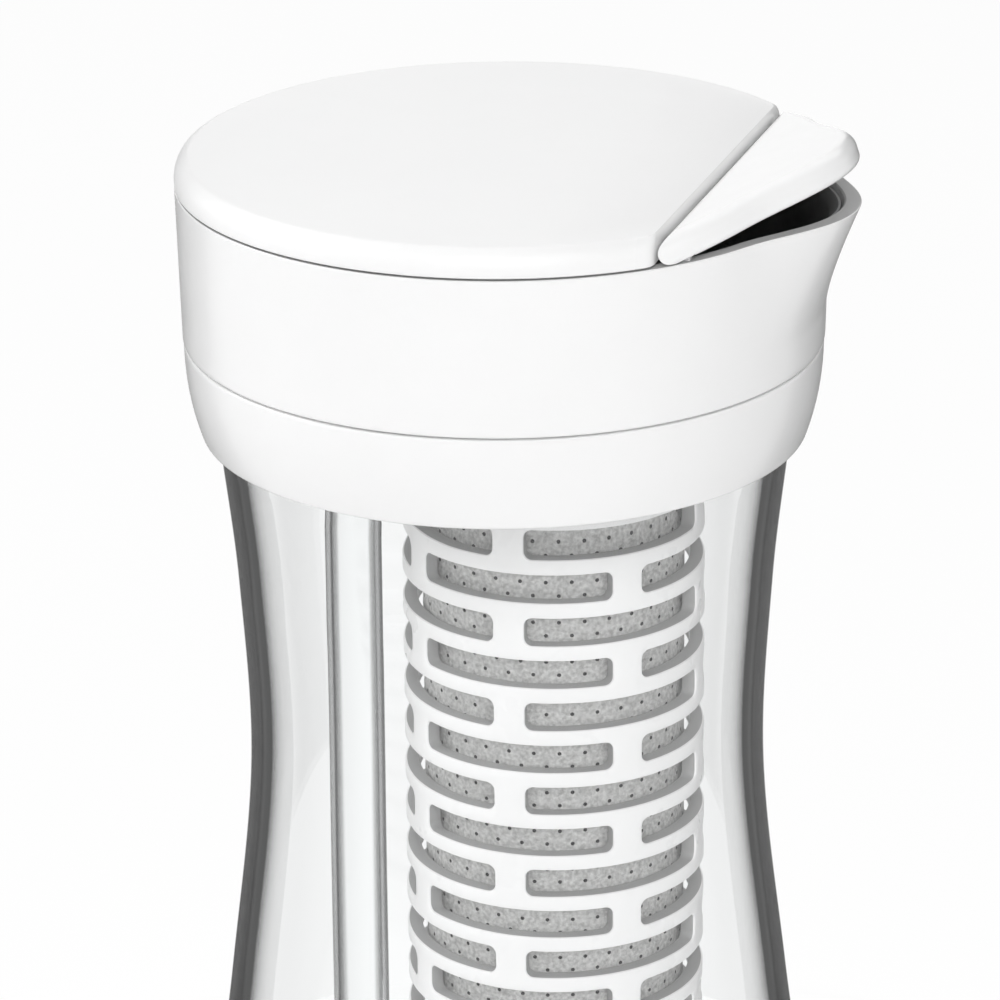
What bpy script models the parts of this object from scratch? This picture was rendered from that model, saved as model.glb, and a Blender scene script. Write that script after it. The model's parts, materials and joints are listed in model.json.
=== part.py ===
"""Water filter pitcher: a waisted glass carafe with a white pouring lid.

The lid pushes into the neck of the carafe. A hinged flap covers its spout. From the lid hang a
slotted filter holder, with a replaceable cartridge inside it, and a clear air tube.
Units are metres. +Z is up, the spout points along +X, and the base stands on z = 0.
"""
import math

import bmesh
import bpy
from mathutils import Matrix, Vector

# Clearances and general values
FIT_GAP = 0.0003
CUT_OVERRUN = 0.001
MERGE_DISTANCE = 0.00001
WELD_DISTANCE = 0.000002
SHARP_ANGLE = math.radians(32)

# Glass carafe
SEAM_HEIGHT = 0.238
FOOT_RADIUS = 0.0445
FOOT_LAND = 0.004
PUSH_UP_RADIUS = 0.031
PUSH_UP_RISE = 0.002
HEEL_RADIUS = 0.0508
HEEL_HEIGHT = 0.009
BELLY_RADIUS = 0.0540
BELLY_HEIGHT_SHARE = 0.1765
HIP_RADIUS = 0.0506
HIP_HEIGHT_SHARE = 0.3782
FLANK_RADIUS = 0.04566
FLANK_HEIGHT_SHARE = 0.5378
WAIST_INSET = 0.00363
WAIST_HEIGHT_SHARE = 0.6954
THROAT_INSET = 0.00243
THROAT_HEIGHT_SHARE = 0.8319
NECK_RADIUS = 0.0453
NECK_DROP = 0.0165
GLASS_WALL = 0.0034
GLASS_FLOOR = 0.0062
RIM_DROP = 0.0025
GLASS_STEPS = 32
GLASS_OUTER_POINTS = 14
GLASS_INNER_POINTS = 10

# Neck collar and its grip band
COLLAR_DEPTH = 0.0151
COLLAR_TOP_STAND = 0.00505
COLLAR_EDGE_STAND = 0.0026
COLLAR_TAPER_POWER = 2.2
COLLAR_TAPER_POINTS = 5
COLLAR_LIP_REACH = 0.0021
COLLAR_FOOT_DEPTH = 0.0026
BAND_THICKNESS = 0.0010
BAND_MARGIN = 0.0006
RING_STEPS = 28

# Lid housing with its spout
HOUSING_HEIGHT = 0.0248
HOUSING_STAND = 0.0052
HOUSING_SPREAD = 0.0006
HOUSING_WALL = 0.0024
HOUSING_EDGE = 0.0004
SPOUT_REACH = 0.0060
SPOUT_INNER_REACH = 0.0056
SPOUT_HALF_ANGLE = math.radians(27)
SPOUT_START_SHARE = 0.24
SPOUT_FLARE_POWER = 1.3
SPOUT_LEVEL_SHARES = (0.24, 0.45, 0.65, 0.84, 1.0)
SPOUT_FACETS = 14
ROUND_FACETS = 26

# Top plate and flap
PLATE_THICKNESS = 0.0044
PLATE_FACETS = 34
PLATE_ROUNDING = 0.0019
PLATE_SKIRT_DEPTH = 0.0030
PLATE_SKIRT_WALL = 0.0014
HINGE_SEAM_GAP = 0.0006
FLAP_OPEN_ANGLE = math.radians(18.6)
CHORD_SHARE = 0.685
FLAP_RIM_INSET = 0.0001
FLAP_ROUNDING = 0.0012
BARREL_STEPS = 16
PIN_RADIUS = 0.0006
EAR_RADIUS = 0.0013
EAR_THICKNESS = 0.0014
EAR_FOOT_DEPTH = 0.0003
EAR_WALL_SHARE = 0.05
EAR_ARC_STEPS = 8
PIN_STEPS = 12

# Pouring cup inside the housing
CUP_WALL = 0.0012
CUP_FLOOR = 0.0018
CUP_TOP_DROP = 0.0006

# Lid plug
PLUG_FLANGE = 0.0022
PLUG_NECK_GAP = 0.0016
PLUG_WALL = 0.0020
PLUG_DEPTH = 0.0120
PLUG_FLOOR = 0.0025
SEAL_GROOVE_DEPTH = 0.0014
SEAL_HEIGHT = 0.0032
SEAL_DROP = 0.0060
PLUG_STEPS = 28

# Filter holder, hung toward the spout from the axis
FILTER_OFFSET_SHARE = 0.1766
CAGE_RADIUS_SHARE = 0.532
CAGE_WALL = 0.0023
HOLDER_REACH = 0.1480
CAGE_STEPS = 20
SLOT_HEIGHT = 0.00468
SLOT_PITCH = 0.00720
SLOT_CORNER = 0.0012
SLOT_CORNER_STEPS = 1
SLOT_ARC_STEPS = 3
SLOT_TOP_DROP = 0.02332
SLOT_ROWS = 16
SLOTS_PER_ROW = 4
SLOT_LAND = math.radians(12)
CAGE_TOP_DROP = 0.0184
HEAD_DISC = 0.0025
HEAD_SKIRT = 0.0018
HEAD_SKIRT_WALL = 0.0012
HEAD_NECK_SHARE = 0.278
HEAD_NECK_WALL = 0.0030
HEAD_NECK_HEIGHT = 0.0112
RING_CORD_RADIUS = 0.0009
RING_CORD_STEPS = 5
HEAD_RING_DROPS = (0.0034, 0.0078)
SOCKET_WALL = 0.0022
SOCKET_OUTLET_MARGIN = 0.0014
FILTER_STEPS = 20

# Cartridge
SLEEVE_GAP = 0.0009
SLEEVE_WALL = 0.0013
SLEEVE_DROP = 0.0044
CORE_BORE = 0.0064
CORE_TUBE_WALL = 0.0011
CARTRIDGE_CAP = 0.0022
SPIGOT_GAP = 0.0009
SPIGOT_WALL = 0.0025
SPIGOT_HEIGHT = 0.0085
SPIGOT_RING_DROP = 0.0030
BASE_FLANGE = 0.0032
BASE_PLUG = 0.0040
GRIP_WIDTH = 0.0060
GRIP_HEIGHT = 0.0012
GRIP_EDGE = 0.0004

# Air tube on the far side of the axis from the spout
TUBE_OFFSET_SHARE = 0.5519
TUBE_RADIUS_SHARE = 0.1181
TUBE_WALL = 0.0012
TUBE_BOTTOM = 0.0200
TUBE_RISE = 0.0180
TUBE_STEPS = 16
GROMMET_WALL = 0.0016
GROMMET_RISE = 0.0005
GROMMET_FLANGE = 0.0012
BOSS_WALL = 0.0020

# Heights and places that follow from the sizes above
THROAT_RADIUS = NECK_RADIUS - THROAT_INSET
WAIST_RADIUS = NECK_RADIUS - WAIST_INSET
NECK_Z = SEAM_HEIGHT - NECK_DROP
RIM_TOP_Z = SEAM_HEIGHT - RIM_DROP
COLLAR_TOP_RADIUS = NECK_RADIUS + COLLAR_TOP_STAND
COLLAR_EDGE_RADIUS = NECK_RADIUS + COLLAR_EDGE_STAND
HOUSING_BASE_RADIUS = NECK_RADIUS + HOUSING_STAND
HOUSING_TOP_RADIUS = HOUSING_BASE_RADIUS + HOUSING_SPREAD
AXIS_X = (BELLY_RADIUS - (HOUSING_TOP_RADIUS + SPOUT_REACH)) / 2
PLUG_RADIUS = NECK_RADIUS - GLASS_WALL - PLUG_NECK_GAP
LID_BASE_Z = SEAM_HEIGHT + FIT_GAP
LID_RIM_Z = LID_BASE_Z + HOUSING_HEIGHT
PLATE_BASE_Z = LID_RIM_Z + FIT_GAP
PLATE_TOP_Z = PLATE_BASE_Z + PLATE_THICKNESS
BARREL_RADIUS = PLATE_THICKNESS / 2
PLATE_CHORD_X = HOUSING_TOP_RADIUS * CHORD_SHARE
HINGE_X = PLATE_CHORD_X + HINGE_SEAM_GAP + BARREL_RADIUS
RIM_OUTER_Y = math.sqrt(HOUSING_TOP_RADIUS**2 - HINGE_X**2)
RIM_INNER_Y = math.sqrt((HOUSING_TOP_RADIUS - HOUSING_WALL) ** 2 - HINGE_X**2)
EAR_Y = RIM_INNER_Y + (RIM_OUTER_Y - RIM_INNER_Y) * EAR_WALL_SHARE
HINGE_Z = PLATE_BASE_Z + BARREL_RADIUS
PLUG_TOP_Z = LID_BASE_Z + PLUG_FLANGE
PLUG_BOTTOM_Z = SEAM_HEIGHT - PLUG_DEPTH
CUP_BASE_Z = PLUG_TOP_Z + FIT_GAP
FILTER_OFFSET = NECK_RADIUS * FILTER_OFFSET_SHARE
CAGE_RADIUS = NECK_RADIUS * CAGE_RADIUS_SHARE
CAGE_BORE = CAGE_RADIUS - CAGE_WALL
CAGE_BOTTOM = SEAM_HEIGHT - HOLDER_REACH
CAGE_TOP = SEAM_HEIGHT - CAGE_TOP_DROP
SLOT_TOP_Z = SEAM_HEIGHT - SLOT_TOP_DROP
HEAD_BASE_Z = CAGE_TOP + FIT_GAP
HEAD_DISC_TOP_Z = HEAD_BASE_Z + HEAD_DISC
HEAD_TOP_Z = HEAD_DISC_TOP_Z + HEAD_NECK_HEIGHT
HEAD_NECK_RADIUS = NECK_RADIUS * HEAD_NECK_SHARE
HEAD_NECK_BORE = HEAD_NECK_RADIUS - HEAD_NECK_WALL
SOCKET_BORE = HEAD_NECK_RADIUS + RING_CORD_RADIUS + 2 * FIT_GAP
SOCKET_BASE_Z = HEAD_DISC_TOP_Z + FIT_GAP
SOCKET_SHOULDER_Z = HEAD_TOP_Z + FIT_GAP
OUTLET_RADIUS = HEAD_NECK_BORE + SOCKET_OUTLET_MARGIN
SLEEVE_RADIUS = CAGE_BORE - SLEEVE_GAP
SLEEVE_BASE_Z = CAGE_BOTTOM + BASE_PLUG + FIT_GAP
SLEEVE_TOP = CAGE_TOP - SLEEVE_DROP
SPIGOT_RADIUS = HEAD_NECK_BORE - SPIGOT_GAP
SPIGOT_BORE = SPIGOT_RADIUS - SPIGOT_WALL
CARTRIDGE_CAP_Z = SLEEVE_TOP + FIT_GAP
SPIGOT_BASE_Z = CARTRIDGE_CAP_Z + CARTRIDGE_CAP
TUBE_OFFSET = NECK_RADIUS * TUBE_OFFSET_SHARE
TUBE_RADIUS = NECK_RADIUS * TUBE_RADIUS_SHARE
TUBE_TOP = SEAM_HEIGHT + TUBE_RISE
GROMMET_TOP = SEAM_HEIGHT + GROMMET_RISE
GROMMET_RADIUS = TUBE_RADIUS + FIT_GAP + GROMMET_WALL
BOSS_BORE = GROMMET_RADIUS + FIT_GAP

WHITE = (0.86, 0.86, 0.86)
CHARCOAL = (0.022, 0.022, 0.024)


def clear_scene():
    """Remove every object and collection that the scene starts with."""
    for item in list(bpy.data.objects):
        bpy.data.objects.remove(item)
    for group in list(bpy.data.collections):
        bpy.data.collections.remove(group)


def new_collection(name):
    """Make a collection and link it to the scene."""
    group = bpy.data.collections.new(name)
    bpy.context.scene.collection.children.link(group)
    return group


def new_material(name, colour, roughness, metallic=0.0, transmission=0.0):
    """Make a Principled material."""
    material = bpy.data.materials.new(name)
    material.use_nodes = True
    shader = material.node_tree.nodes["Principled BSDF"]
    shader.inputs["Base Color"].default_value = (*colour, 1.0)
    shader.inputs["Roughness"].default_value = roughness
    shader.inputs["Metallic"].default_value = metallic
    shader.inputs["Transmission Weight"].default_value = transmission
    material.diffuse_color = (*colour, 1.0)
    return material


def add_axis(name, location, parent=None):
    """Add an empty that marks an axis and carries the pieces on it."""
    axis = bpy.data.objects.new(name, None)
    axis.empty_display_size = GLASS_WALL
    axis.location = location
    axis.parent = parent
    PARTS.objects.link(axis)
    return axis


def add_piece(name, mesh, material, parent, location=(0, 0, 0)):
    """Add a named piece of the pitcher with its own material."""
    piece = bpy.data.objects.new(name, mesh)
    piece.location = location
    piece.parent = parent
    PARTS.objects.link(piece)
    mesh.materials.append(material)
    return piece


def add_cutter(name, mesh, parent, location=(0, 0, 0)):
    """Add a shape that only cuts or joins, drawn as wire."""
    cutter = bpy.data.objects.new(name, mesh)
    cutter.location = location
    cutter.parent = parent
    cutter.display_type = "WIRE"
    cutter.hide_render = True
    CUTTERS.objects.link(cutter)
    return cutter


def combine(piece, other, operation):
    """Join another shape to a piece, or cut it out."""
    modifier = piece.modifiers.new(other.name, "BOOLEAN")
    modifier.operation = operation
    modifier.solver = "EXACT"
    modifier.object = other


def shade_round(piece):
    """Shade a piece smooth, with its sharp edges kept."""
    piece.data.shade_smooth()
    piece.data.set_sharp_from_angle(angle=SHARP_ANGLE)


def profile_mesh(name, points, closed):
    """Make a chain of edges in the XZ plane from (radius, height) points."""
    mesh = bpy.data.meshes.new(name)
    shape = bmesh.new()
    chain = [shape.verts.new((radius, 0, height)) for radius, height in points]
    for start, end in zip(chain, chain[1:]):
        shape.edges.new((start, end))
    if closed:
        shape.edges.new((chain[-1], chain[0]))
    shape.to_mesh(mesh)
    shape.free()
    return mesh


def turn(piece, steps):
    """Turn a piece's profile about its Z axis."""
    screw = piece.modifiers.new("Turned", "SCREW")
    screw.axis = "Z"
    screw.steps = steps
    screw.render_steps = steps
    screw.use_merge_vertices = True
    screw.merge_threshold = MERGE_DISTANCE
    screw.use_smooth_shade = True


def turned_piece(name, points, steps, material, parent, location=(0, 0, 0), closed=True):
    """Add a turned piece. Its profile runs down the outer side, top to bottom."""
    piece = add_piece(name, profile_mesh(name, points, closed), material, parent, location)
    turn(piece, steps)
    return piece


def tube_points(outer, inner, bottom, top):
    """Give the closed profile of a plain ring or tube."""
    return [(outer, top), (outer, bottom), (inner, bottom), (inner, top)]


def cylinder_mesh(name, radius, low, high, steps):
    """Make a capped cylinder along Z between two heights."""
    mesh = bpy.data.meshes.new(name)
    shape = bmesh.new()
    bmesh.ops.create_cone(
        shape,
        cap_ends=True,
        segments=steps,
        radius1=radius,
        radius2=radius,
        depth=high - low,
        matrix=Matrix.Translation((0, 0, (low + high) / 2)),
    )
    shape.to_mesh(mesh)
    shape.free()
    return mesh


def cross_cylinder_mesh(name, radius, half_length, steps, y_centre=0.0):
    """Make a capped cylinder along Y."""
    mesh = bpy.data.meshes.new(name)
    shape = bmesh.new()
    place = Matrix.Translation((0, y_centre, 0)) @ Matrix.Rotation(math.pi / 2, 4, "X")
    bmesh.ops.create_cone(
        shape,
        cap_ends=True,
        segments=steps,
        radius1=radius,
        radius2=radius,
        depth=2 * half_length,
        matrix=place,
    )
    shape.to_mesh(mesh)
    shape.free()
    return mesh


def box_mesh(name, low, high):
    """Make a box between two corners."""
    mesh = bpy.data.meshes.new(name)
    shape = bmesh.new()
    size = Vector(high) - Vector(low)
    place = Matrix.Translation((Vector(high) + Vector(low)) / 2) @ Matrix.Diagonal((*size, 1))
    bmesh.ops.create_cube(shape, size=1, matrix=place)
    shape.to_mesh(mesh)
    shape.free()
    return mesh


def smooth_curve(stations, count):
    """Give points on a smooth curve through (radius, height) stations, evenly spaced in height."""
    heights = [height for radius, height in stations]
    radii = [radius for radius, height in stations]
    slopes = []
    for index in range(len(stations)):
        before = max(index - 1, 0)
        after = min(index + 1, len(stations) - 1)
        slopes.append((radii[after] - radii[before]) / (heights[after] - heights[before]))
    points = []
    for step in range(count):
        height = heights[0] + (heights[-1] - heights[0]) * step / (count - 1)
        index = 0
        while index < len(stations) - 2 and abs(height - heights[0]) > abs(heights[index + 1] - heights[0]):
            index += 1
        span = heights[index + 1] - heights[index]
        share = (height - heights[index]) / span
        start_weight = (1 + 2 * share) * (1 - share) ** 2
        end_weight = share**2 * (3 - 2 * share)
        start_pull = share * (1 - share) ** 2 * span
        end_pull = share**2 * (share - 1) * span
        radius = radii[index] * start_weight + radii[index + 1] * end_weight
        radius += slopes[index] * start_pull + slopes[index + 1] * end_pull
        points.append((radius, height))
    return points


def spout_bulge(azimuth):
    """Give the spout's share of its full reach at an azimuth, 1 at the tip and 0 off the spout."""
    turn_share = min(abs(azimuth) / SPOUT_HALF_ANGLE, 1)
    return math.cos(turn_share * math.pi / 2) ** 2


def lid_azimuths():
    """Give the azimuths of the lid's outline, closer together round the spout."""
    angles = []
    for step in range(SPOUT_FACETS):
        angles.append(SPOUT_HALF_ANGLE * (2 * step / SPOUT_FACETS - 1))
    rest = 2 * math.pi - 2 * SPOUT_HALF_ANGLE
    for step in range(ROUND_FACETS):
        angles.append(SPOUT_HALF_ANGLE + rest * step / ROUND_FACETS)
    return angles


def lid_outline(radius, reach):
    """Give the lid's (x, y) outline: a circle with the spout's bulge toward +X."""
    outline = []
    for azimuth in lid_azimuths():
        distance = radius + reach * spout_bulge(azimuth)
        outline.append((distance * math.cos(azimuth), distance * math.sin(azimuth)))
    return outline


def flare(level_share, reach):
    """Give the spout's reach at a share of the housing's height."""
    rise = max(level_share - SPOUT_START_SHARE, 0) / (1 - SPOUT_START_SHARE)
    return reach * rise**SPOUT_FLARE_POWER


def loft_mesh(name, sections, capped):
    """Skin a stack of like outlines. Each section is (height, outline).

    A capped stack is closed at its first and last sections. An uncapped one closes on itself,
    as the wall of an open ring does.
    """
    mesh = bpy.data.meshes.new(name)
    shape = bmesh.new()
    rings = []
    for height, outline in sections:
        rings.append([shape.verts.new((x, y, height)) for x, y in outline])
    pairs = list(zip(rings, rings[1:]))
    if not capped:
        pairs.append((rings[-1], rings[0]))
    for lower, upper in pairs:
        for index in range(len(lower)):
            after = (index + 1) % len(lower)
            shape.faces.new((lower[index], lower[after], upper[after], upper[index]))
    if capped:
        shape.faces.new(rings[0][::-1])
        shape.faces.new(rings[-1])
    bmesh.ops.recalc_face_normals(shape, faces=shape.faces)
    shape.to_mesh(mesh)
    shape.free()
    return mesh


def slab_mesh(name, outline, low, high):
    """Make a flat slab from an (x, y) outline, as a filled and extruded 2D curve."""
    curve = bpy.data.curves.new(name, "CURVE")
    curve.dimensions = "2D"
    curve.fill_mode = "BOTH"
    curve.extrude = (high - low) / 2
    spline = curve.splines.new("POLY")
    spline.points.add(len(outline) - 1)
    for point, (x, y) in zip(spline.points, outline):
        point.co = (x, y, 0, 1)
    spline.use_cyclic_u = True
    holder = bpy.data.objects.new(name, curve)
    bpy.context.scene.collection.objects.link(holder)
    graph = bpy.context.evaluated_depsgraph_get()
    mesh = bpy.data.meshes.new_from_object(holder.evaluated_get(graph))
    bpy.data.objects.remove(holder)
    bpy.data.curves.remove(curve)
    shape = bmesh.new()
    shape.from_mesh(mesh)
    bmesh.ops.remove_doubles(shape, verts=shape.verts, dist=WELD_DISTANCE)
    bmesh.ops.dissolve_limit(shape, angle_limit=SHARP_ANGLE / 100, verts=shape.verts, edges=shape.edges)
    bmesh.ops.recalc_face_normals(shape, faces=shape.faces)
    bmesh.ops.translate(shape, verts=shape.verts, vec=(0, 0, (low + high) / 2))
    shape.to_mesh(mesh)
    shape.free()
    return mesh


def cord_ring_points(centre_radius, height):
    """Give the round section of a sealing ring, down its outer side first."""
    points = []
    for step in range(RING_CORD_STEPS):
        angle = math.pi / 2 - 2 * math.pi * (step + 0.5) / RING_CORD_STEPS
        radius = centre_radius + RING_CORD_RADIUS * math.cos(angle)
        points.append((radius, height + RING_CORD_RADIUS * math.sin(angle)))
    return points


def groove_points(face_radius, floor_radius, height):
    """Give the corners of a ring groove in a face that runs down."""
    half = RING_CORD_RADIUS + FIT_GAP
    top = height + half
    bottom = height - half
    return [(face_radius, top), (floor_radius, top), (floor_radius, bottom), (face_radius, bottom)]


def build_glass(parent):
    """Blow the waisted carafe: one wall from the rim to a foot with a slight push-up."""
    outer_stations = [
        (NECK_RADIUS, NECK_Z),
        (THROAT_RADIUS, SEAM_HEIGHT * THROAT_HEIGHT_SHARE),
        (WAIST_RADIUS, SEAM_HEIGHT * WAIST_HEIGHT_SHARE),
        (FLANK_RADIUS, SEAM_HEIGHT * FLANK_HEIGHT_SHARE),
        (HIP_RADIUS, SEAM_HEIGHT * HIP_HEIGHT_SHARE),
        (BELLY_RADIUS, SEAM_HEIGHT * BELLY_HEIGHT_SHARE),
        (HEEL_RADIUS, HEEL_HEIGHT),
    ]
    outer = smooth_curve(outer_stations, GLASS_OUTER_POINTS)
    floor_z = PUSH_UP_RISE + GLASS_FLOOR
    inner_stations = [(radius - GLASS_WALL, height) for radius, height in outer_stations[:-1]]
    inner_stations.append((HEEL_RADIUS - GLASS_WALL, HEEL_HEIGHT + GLASS_WALL))
    inner = smooth_curve(inner_stations, GLASS_INNER_POINTS)
    rim_middle = NECK_RADIUS - GLASS_WALL / 2
    points = [(0, floor_z), (PUSH_UP_RADIUS, floor_z)]
    points += [(FOOT_RADIUS - GLASS_WALL, floor_z + FOOT_LAND / 4)]
    points += inner[::-1]
    points += [(NECK_RADIUS - GLASS_WALL, RIM_TOP_Z - GLASS_WALL / 2)]
    points += [(rim_middle - GLASS_WALL / 4, RIM_TOP_Z), (rim_middle + GLASS_WALL / 4, RIM_TOP_Z)]
    points += [(NECK_RADIUS, RIM_TOP_Z - GLASS_WALL / 2)]
    points += outer
    heel_turn = (HEEL_RADIUS + FOOT_RADIUS) / 2 + FOOT_LAND / 4
    points += [(heel_turn, HEEL_HEIGHT / 4), (FOOT_RADIUS, 0)]
    points += [(FOOT_RADIUS - FOOT_LAND, 0), (PUSH_UP_RADIUS, PUSH_UP_RISE), (0, PUSH_UP_RISE)]
    material = new_material("clear_glass", (0.86, 0.88, 0.88), 0.03, transmission=1.0)
    return turned_piece("glass_carafe", points, GLASS_STEPS, material, parent, closed=False)


def build_collar(parent):
    """Turn the neck collar, which tapers to its lower edge and hooks over the glass rim."""
    foot_z = SEAM_HEIGHT - COLLAR_DEPTH
    outer = []
    for step in range(COLLAR_TAPER_POINTS + 1):
        share = step / COLLAR_TAPER_POINTS
        narrowing = (COLLAR_TOP_RADIUS - COLLAR_EDGE_RADIUS) * share**COLLAR_TAPER_POWER
        outer.append((COLLAR_TOP_RADIUS - narrowing, SEAM_HEIGHT - COLLAR_DEPTH * share))
    pocket = NECK_RADIUS + BAND_THICKNESS + 2 * FIT_GAP
    mouth = NECK_RADIUS + FIT_GAP
    lip_z = RIM_TOP_Z + FIT_GAP
    lip_radius = NECK_RADIUS - COLLAR_LIP_REACH
    points = outer + [
        (mouth, foot_z),
        (mouth, foot_z + COLLAR_FOOT_DEPTH),
        (pocket, foot_z + COLLAR_FOOT_DEPTH),
        (pocket, lip_z),
        (lip_radius, lip_z),
        (lip_radius, SEAM_HEIGHT),
    ]
    material = new_material("white_collar", WHITE, 0.22)
    return turned_piece("neck_collar", points, RING_STEPS, material, parent)


def build_band(parent):
    """Turn the silicone band that grips the glass inside the collar."""
    inner = NECK_RADIUS + FIT_GAP
    bottom = SEAM_HEIGHT - COLLAR_DEPTH + COLLAR_FOOT_DEPTH + FIT_GAP
    top = RIM_TOP_Z - GLASS_WALL / 2 - BAND_MARGIN
    points = tube_points(inner + BAND_THICKNESS, inner, bottom, top)
    material = new_material("grip_band_silicone", (0.75, 0.75, 0.74), 0.6)
    return turned_piece("collar_band", points, RING_STEPS, material, parent)


def housing_radius(level_share):
    """Give the housing's radius at a share of its height."""
    return HOUSING_BASE_RADIUS + (HOUSING_TOP_RADIUS - HOUSING_BASE_RADIUS) * level_share


def housing_section(level_share, inset, reach):
    """Give one level of the housing's wall, moved in by an inset."""
    outline = lid_outline(housing_radius(level_share) - inset, flare(level_share, reach))
    return LID_BASE_Z + HOUSING_HEIGHT * level_share, outline


def ear_mesh(name):
    """Make a hinge ear: a post with a round top about the pin, standing in the housing's rim."""
    foot = LID_RIM_Z - EAR_FOOT_DEPTH - HINGE_Z
    outline = [(-EAR_RADIUS, foot), (EAR_RADIUS, foot)]
    for step in range(EAR_ARC_STEPS + 1):
        angle = math.pi * step / EAR_ARC_STEPS
        outline.append((EAR_RADIUS * math.cos(angle), EAR_RADIUS * math.sin(angle)))
    mesh = slab_mesh(name, outline, -EAR_THICKNESS / 2, EAR_THICKNESS / 2)
    mesh.transform(Matrix.Rotation(math.pi / 2, 4, "X"))
    return mesh


def build_housing(parent):
    """Loft the housing from a round base to a rim with a spout, and add the hinge ears."""
    edge_share = HOUSING_EDGE / HOUSING_HEIGHT
    sections = [housing_section(0, HOUSING_EDGE, SPOUT_REACH)]
    sections.append(housing_section(edge_share, 0, SPOUT_REACH))
    for share in SPOUT_LEVEL_SHARES[:-1]:
        sections.append(housing_section(share, 0, SPOUT_REACH))
    sections.append(housing_section(1 - edge_share, 0, SPOUT_REACH))
    sections.append(housing_section(1, HOUSING_EDGE, SPOUT_REACH))
    sections.append(housing_section(1, HOUSING_WALL, SPOUT_INNER_REACH))
    for share in (SPOUT_LEVEL_SHARES[2], SPOUT_LEVEL_SHARES[0], 0):
        sections.append(housing_section(share, HOUSING_WALL, SPOUT_INNER_REACH))
    material = new_material("white_housing", WHITE, 0.20)
    mesh = loft_mesh("lid_housing", sections, capped=False)
    housing = add_piece("lid_housing", mesh, material, parent)
    for side, name in ((-1, "near"), (1, "far")):
        ear = add_cutter(f"ear_{name}", ear_mesh(f"ear_{name}"), parent, (HINGE_X, side * EAR_Y, HINGE_Z))
        combine(housing, ear, "UNION")
    bore_mesh = cross_cylinder_mesh("ear_bore", PIN_RADIUS + FIT_GAP, EAR_Y + EAR_THICKNESS, PIN_STEPS)
    bore = add_cutter("ear_bore", bore_mesh, parent, (HINGE_X, 0, HINGE_Z))
    combine(housing, bore, "DIFFERENCE")
    return housing


def build_cup(parent):
    """Loft the charcoal pouring cup that lines the housing, with its two floor holes."""
    inset = HOUSING_WALL + FIT_GAP
    base_share = (CUP_BASE_Z - LID_BASE_Z) / HOUSING_HEIGHT
    floor_share = base_share + CUP_FLOOR / HOUSING_HEIGHT
    top_share = 1 - CUP_TOP_DROP / HOUSING_HEIGHT
    outer_shares = (base_share, *SPOUT_LEVEL_SHARES[:-1:2], top_share)
    inner_shares = (top_share, *SPOUT_LEVEL_SHARES[-3::-2], floor_share)
    sections = [housing_section(share, inset, SPOUT_INNER_REACH) for share in outer_shares]
    sections += [housing_section(share, inset + CUP_WALL, SPOUT_INNER_REACH) for share in inner_shares]
    material = new_material("charcoal_cup", CHARCOAL, 0.4)
    cup = add_piece("pour_cup", loft_mesh("pour_cup", sections, capped=True), material, parent)
    low = CUP_BASE_Z - CUT_OVERRUN
    high = CUP_BASE_Z + CUP_FLOOR + CUT_OVERRUN
    outlet = cylinder_mesh("cup_outlet", OUTLET_RADIUS, low, high, FILTER_STEPS)
    combine(cup, add_cutter("cup_outlet", outlet, parent, (FILTER_OFFSET, 0, 0)), "DIFFERENCE")
    vent = cylinder_mesh("cup_vent", TUBE_RADIUS + FIT_GAP, low, high, TUBE_STEPS)
    combine(cup, add_cutter("cup_vent", vent, parent, (-TUBE_OFFSET, 0, 0)), "DIFFERENCE")
    return cup


def build_plate(parent):
    """Cut the round top plate along the hinge seam, with a skirt that locates it in the cup."""
    outline = []
    half_angle = math.acos(PLATE_CHORD_X / HOUSING_TOP_RADIUS)
    for step in range(PLATE_FACETS + 1):
        azimuth = half_angle + (2 * math.pi - 2 * half_angle) * step / PLATE_FACETS
        outline.append((HOUSING_TOP_RADIUS * math.cos(azimuth), HOUSING_TOP_RADIUS * math.sin(azimuth)))
    mesh = slab_mesh("top_plate", outline, PLATE_BASE_Z, PLATE_TOP_Z)
    shape = bmesh.new()
    shape.from_mesh(mesh)
    top_edges = [edge for edge in shape.edges if min(vert.co.z for vert in edge.verts) > HINGE_Z]
    bmesh.ops.bevel(shape, geom=top_edges, offset=PLATE_ROUNDING, segments=3, profile=0.5, affect="EDGES")
    shape.to_mesh(mesh)
    shape.free()
    plate = add_piece("top_plate", mesh, new_material("white_plate", WHITE, 0.16), parent)
    skirt_radius = housing_radius(1) - HOUSING_WALL - CUP_WALL - 3 * FIT_GAP
    skirt_points = tube_points(
        skirt_radius,
        skirt_radius - PLATE_SKIRT_WALL,
        PLATE_BASE_Z - PLATE_SKIRT_DEPTH,
        PLATE_BASE_Z + CUT_OVERRUN,
    )
    skirt = add_cutter("plate_skirt", profile_mesh("plate_skirt", skirt_points, True), parent)
    turn(skirt, RING_STEPS)
    trim_x = PLATE_CHORD_X - BARREL_RADIUS * 2
    low = (trim_x, -HOUSING_TOP_RADIUS, PLATE_BASE_Z - PLATE_SKIRT_DEPTH - CUT_OVERRUN)
    high = (HOUSING_TOP_RADIUS, HOUSING_TOP_RADIUS, PLATE_TOP_Z)
    trim = add_cutter("skirt_trim", box_mesh("skirt_trim", low, high), parent)
    combine(skirt, trim, "DIFFERENCE")
    combine(plate, skirt, "UNION")
    return plate


def flap_outline(least_x):
    """Give the flap's outline about the hinge line: the lid's rim beyond a distance from the axis."""
    rim = lid_outline(housing_radius(1) - FLAP_RIM_INSET, SPOUT_REACH)
    end_y = math.sqrt((housing_radius(1) - FLAP_RIM_INSET) ** 2 - least_x**2)
    beyond = [(x, y) for x, y in rim if x > least_x + HOUSING_EDGE]
    beyond.sort(key=lambda point: math.atan2(point[1], point[0]))
    outline = [(least_x, -end_y), *beyond, (least_x, end_y)]
    return [(x - HINGE_X, y) for x, y in outline]


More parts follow.
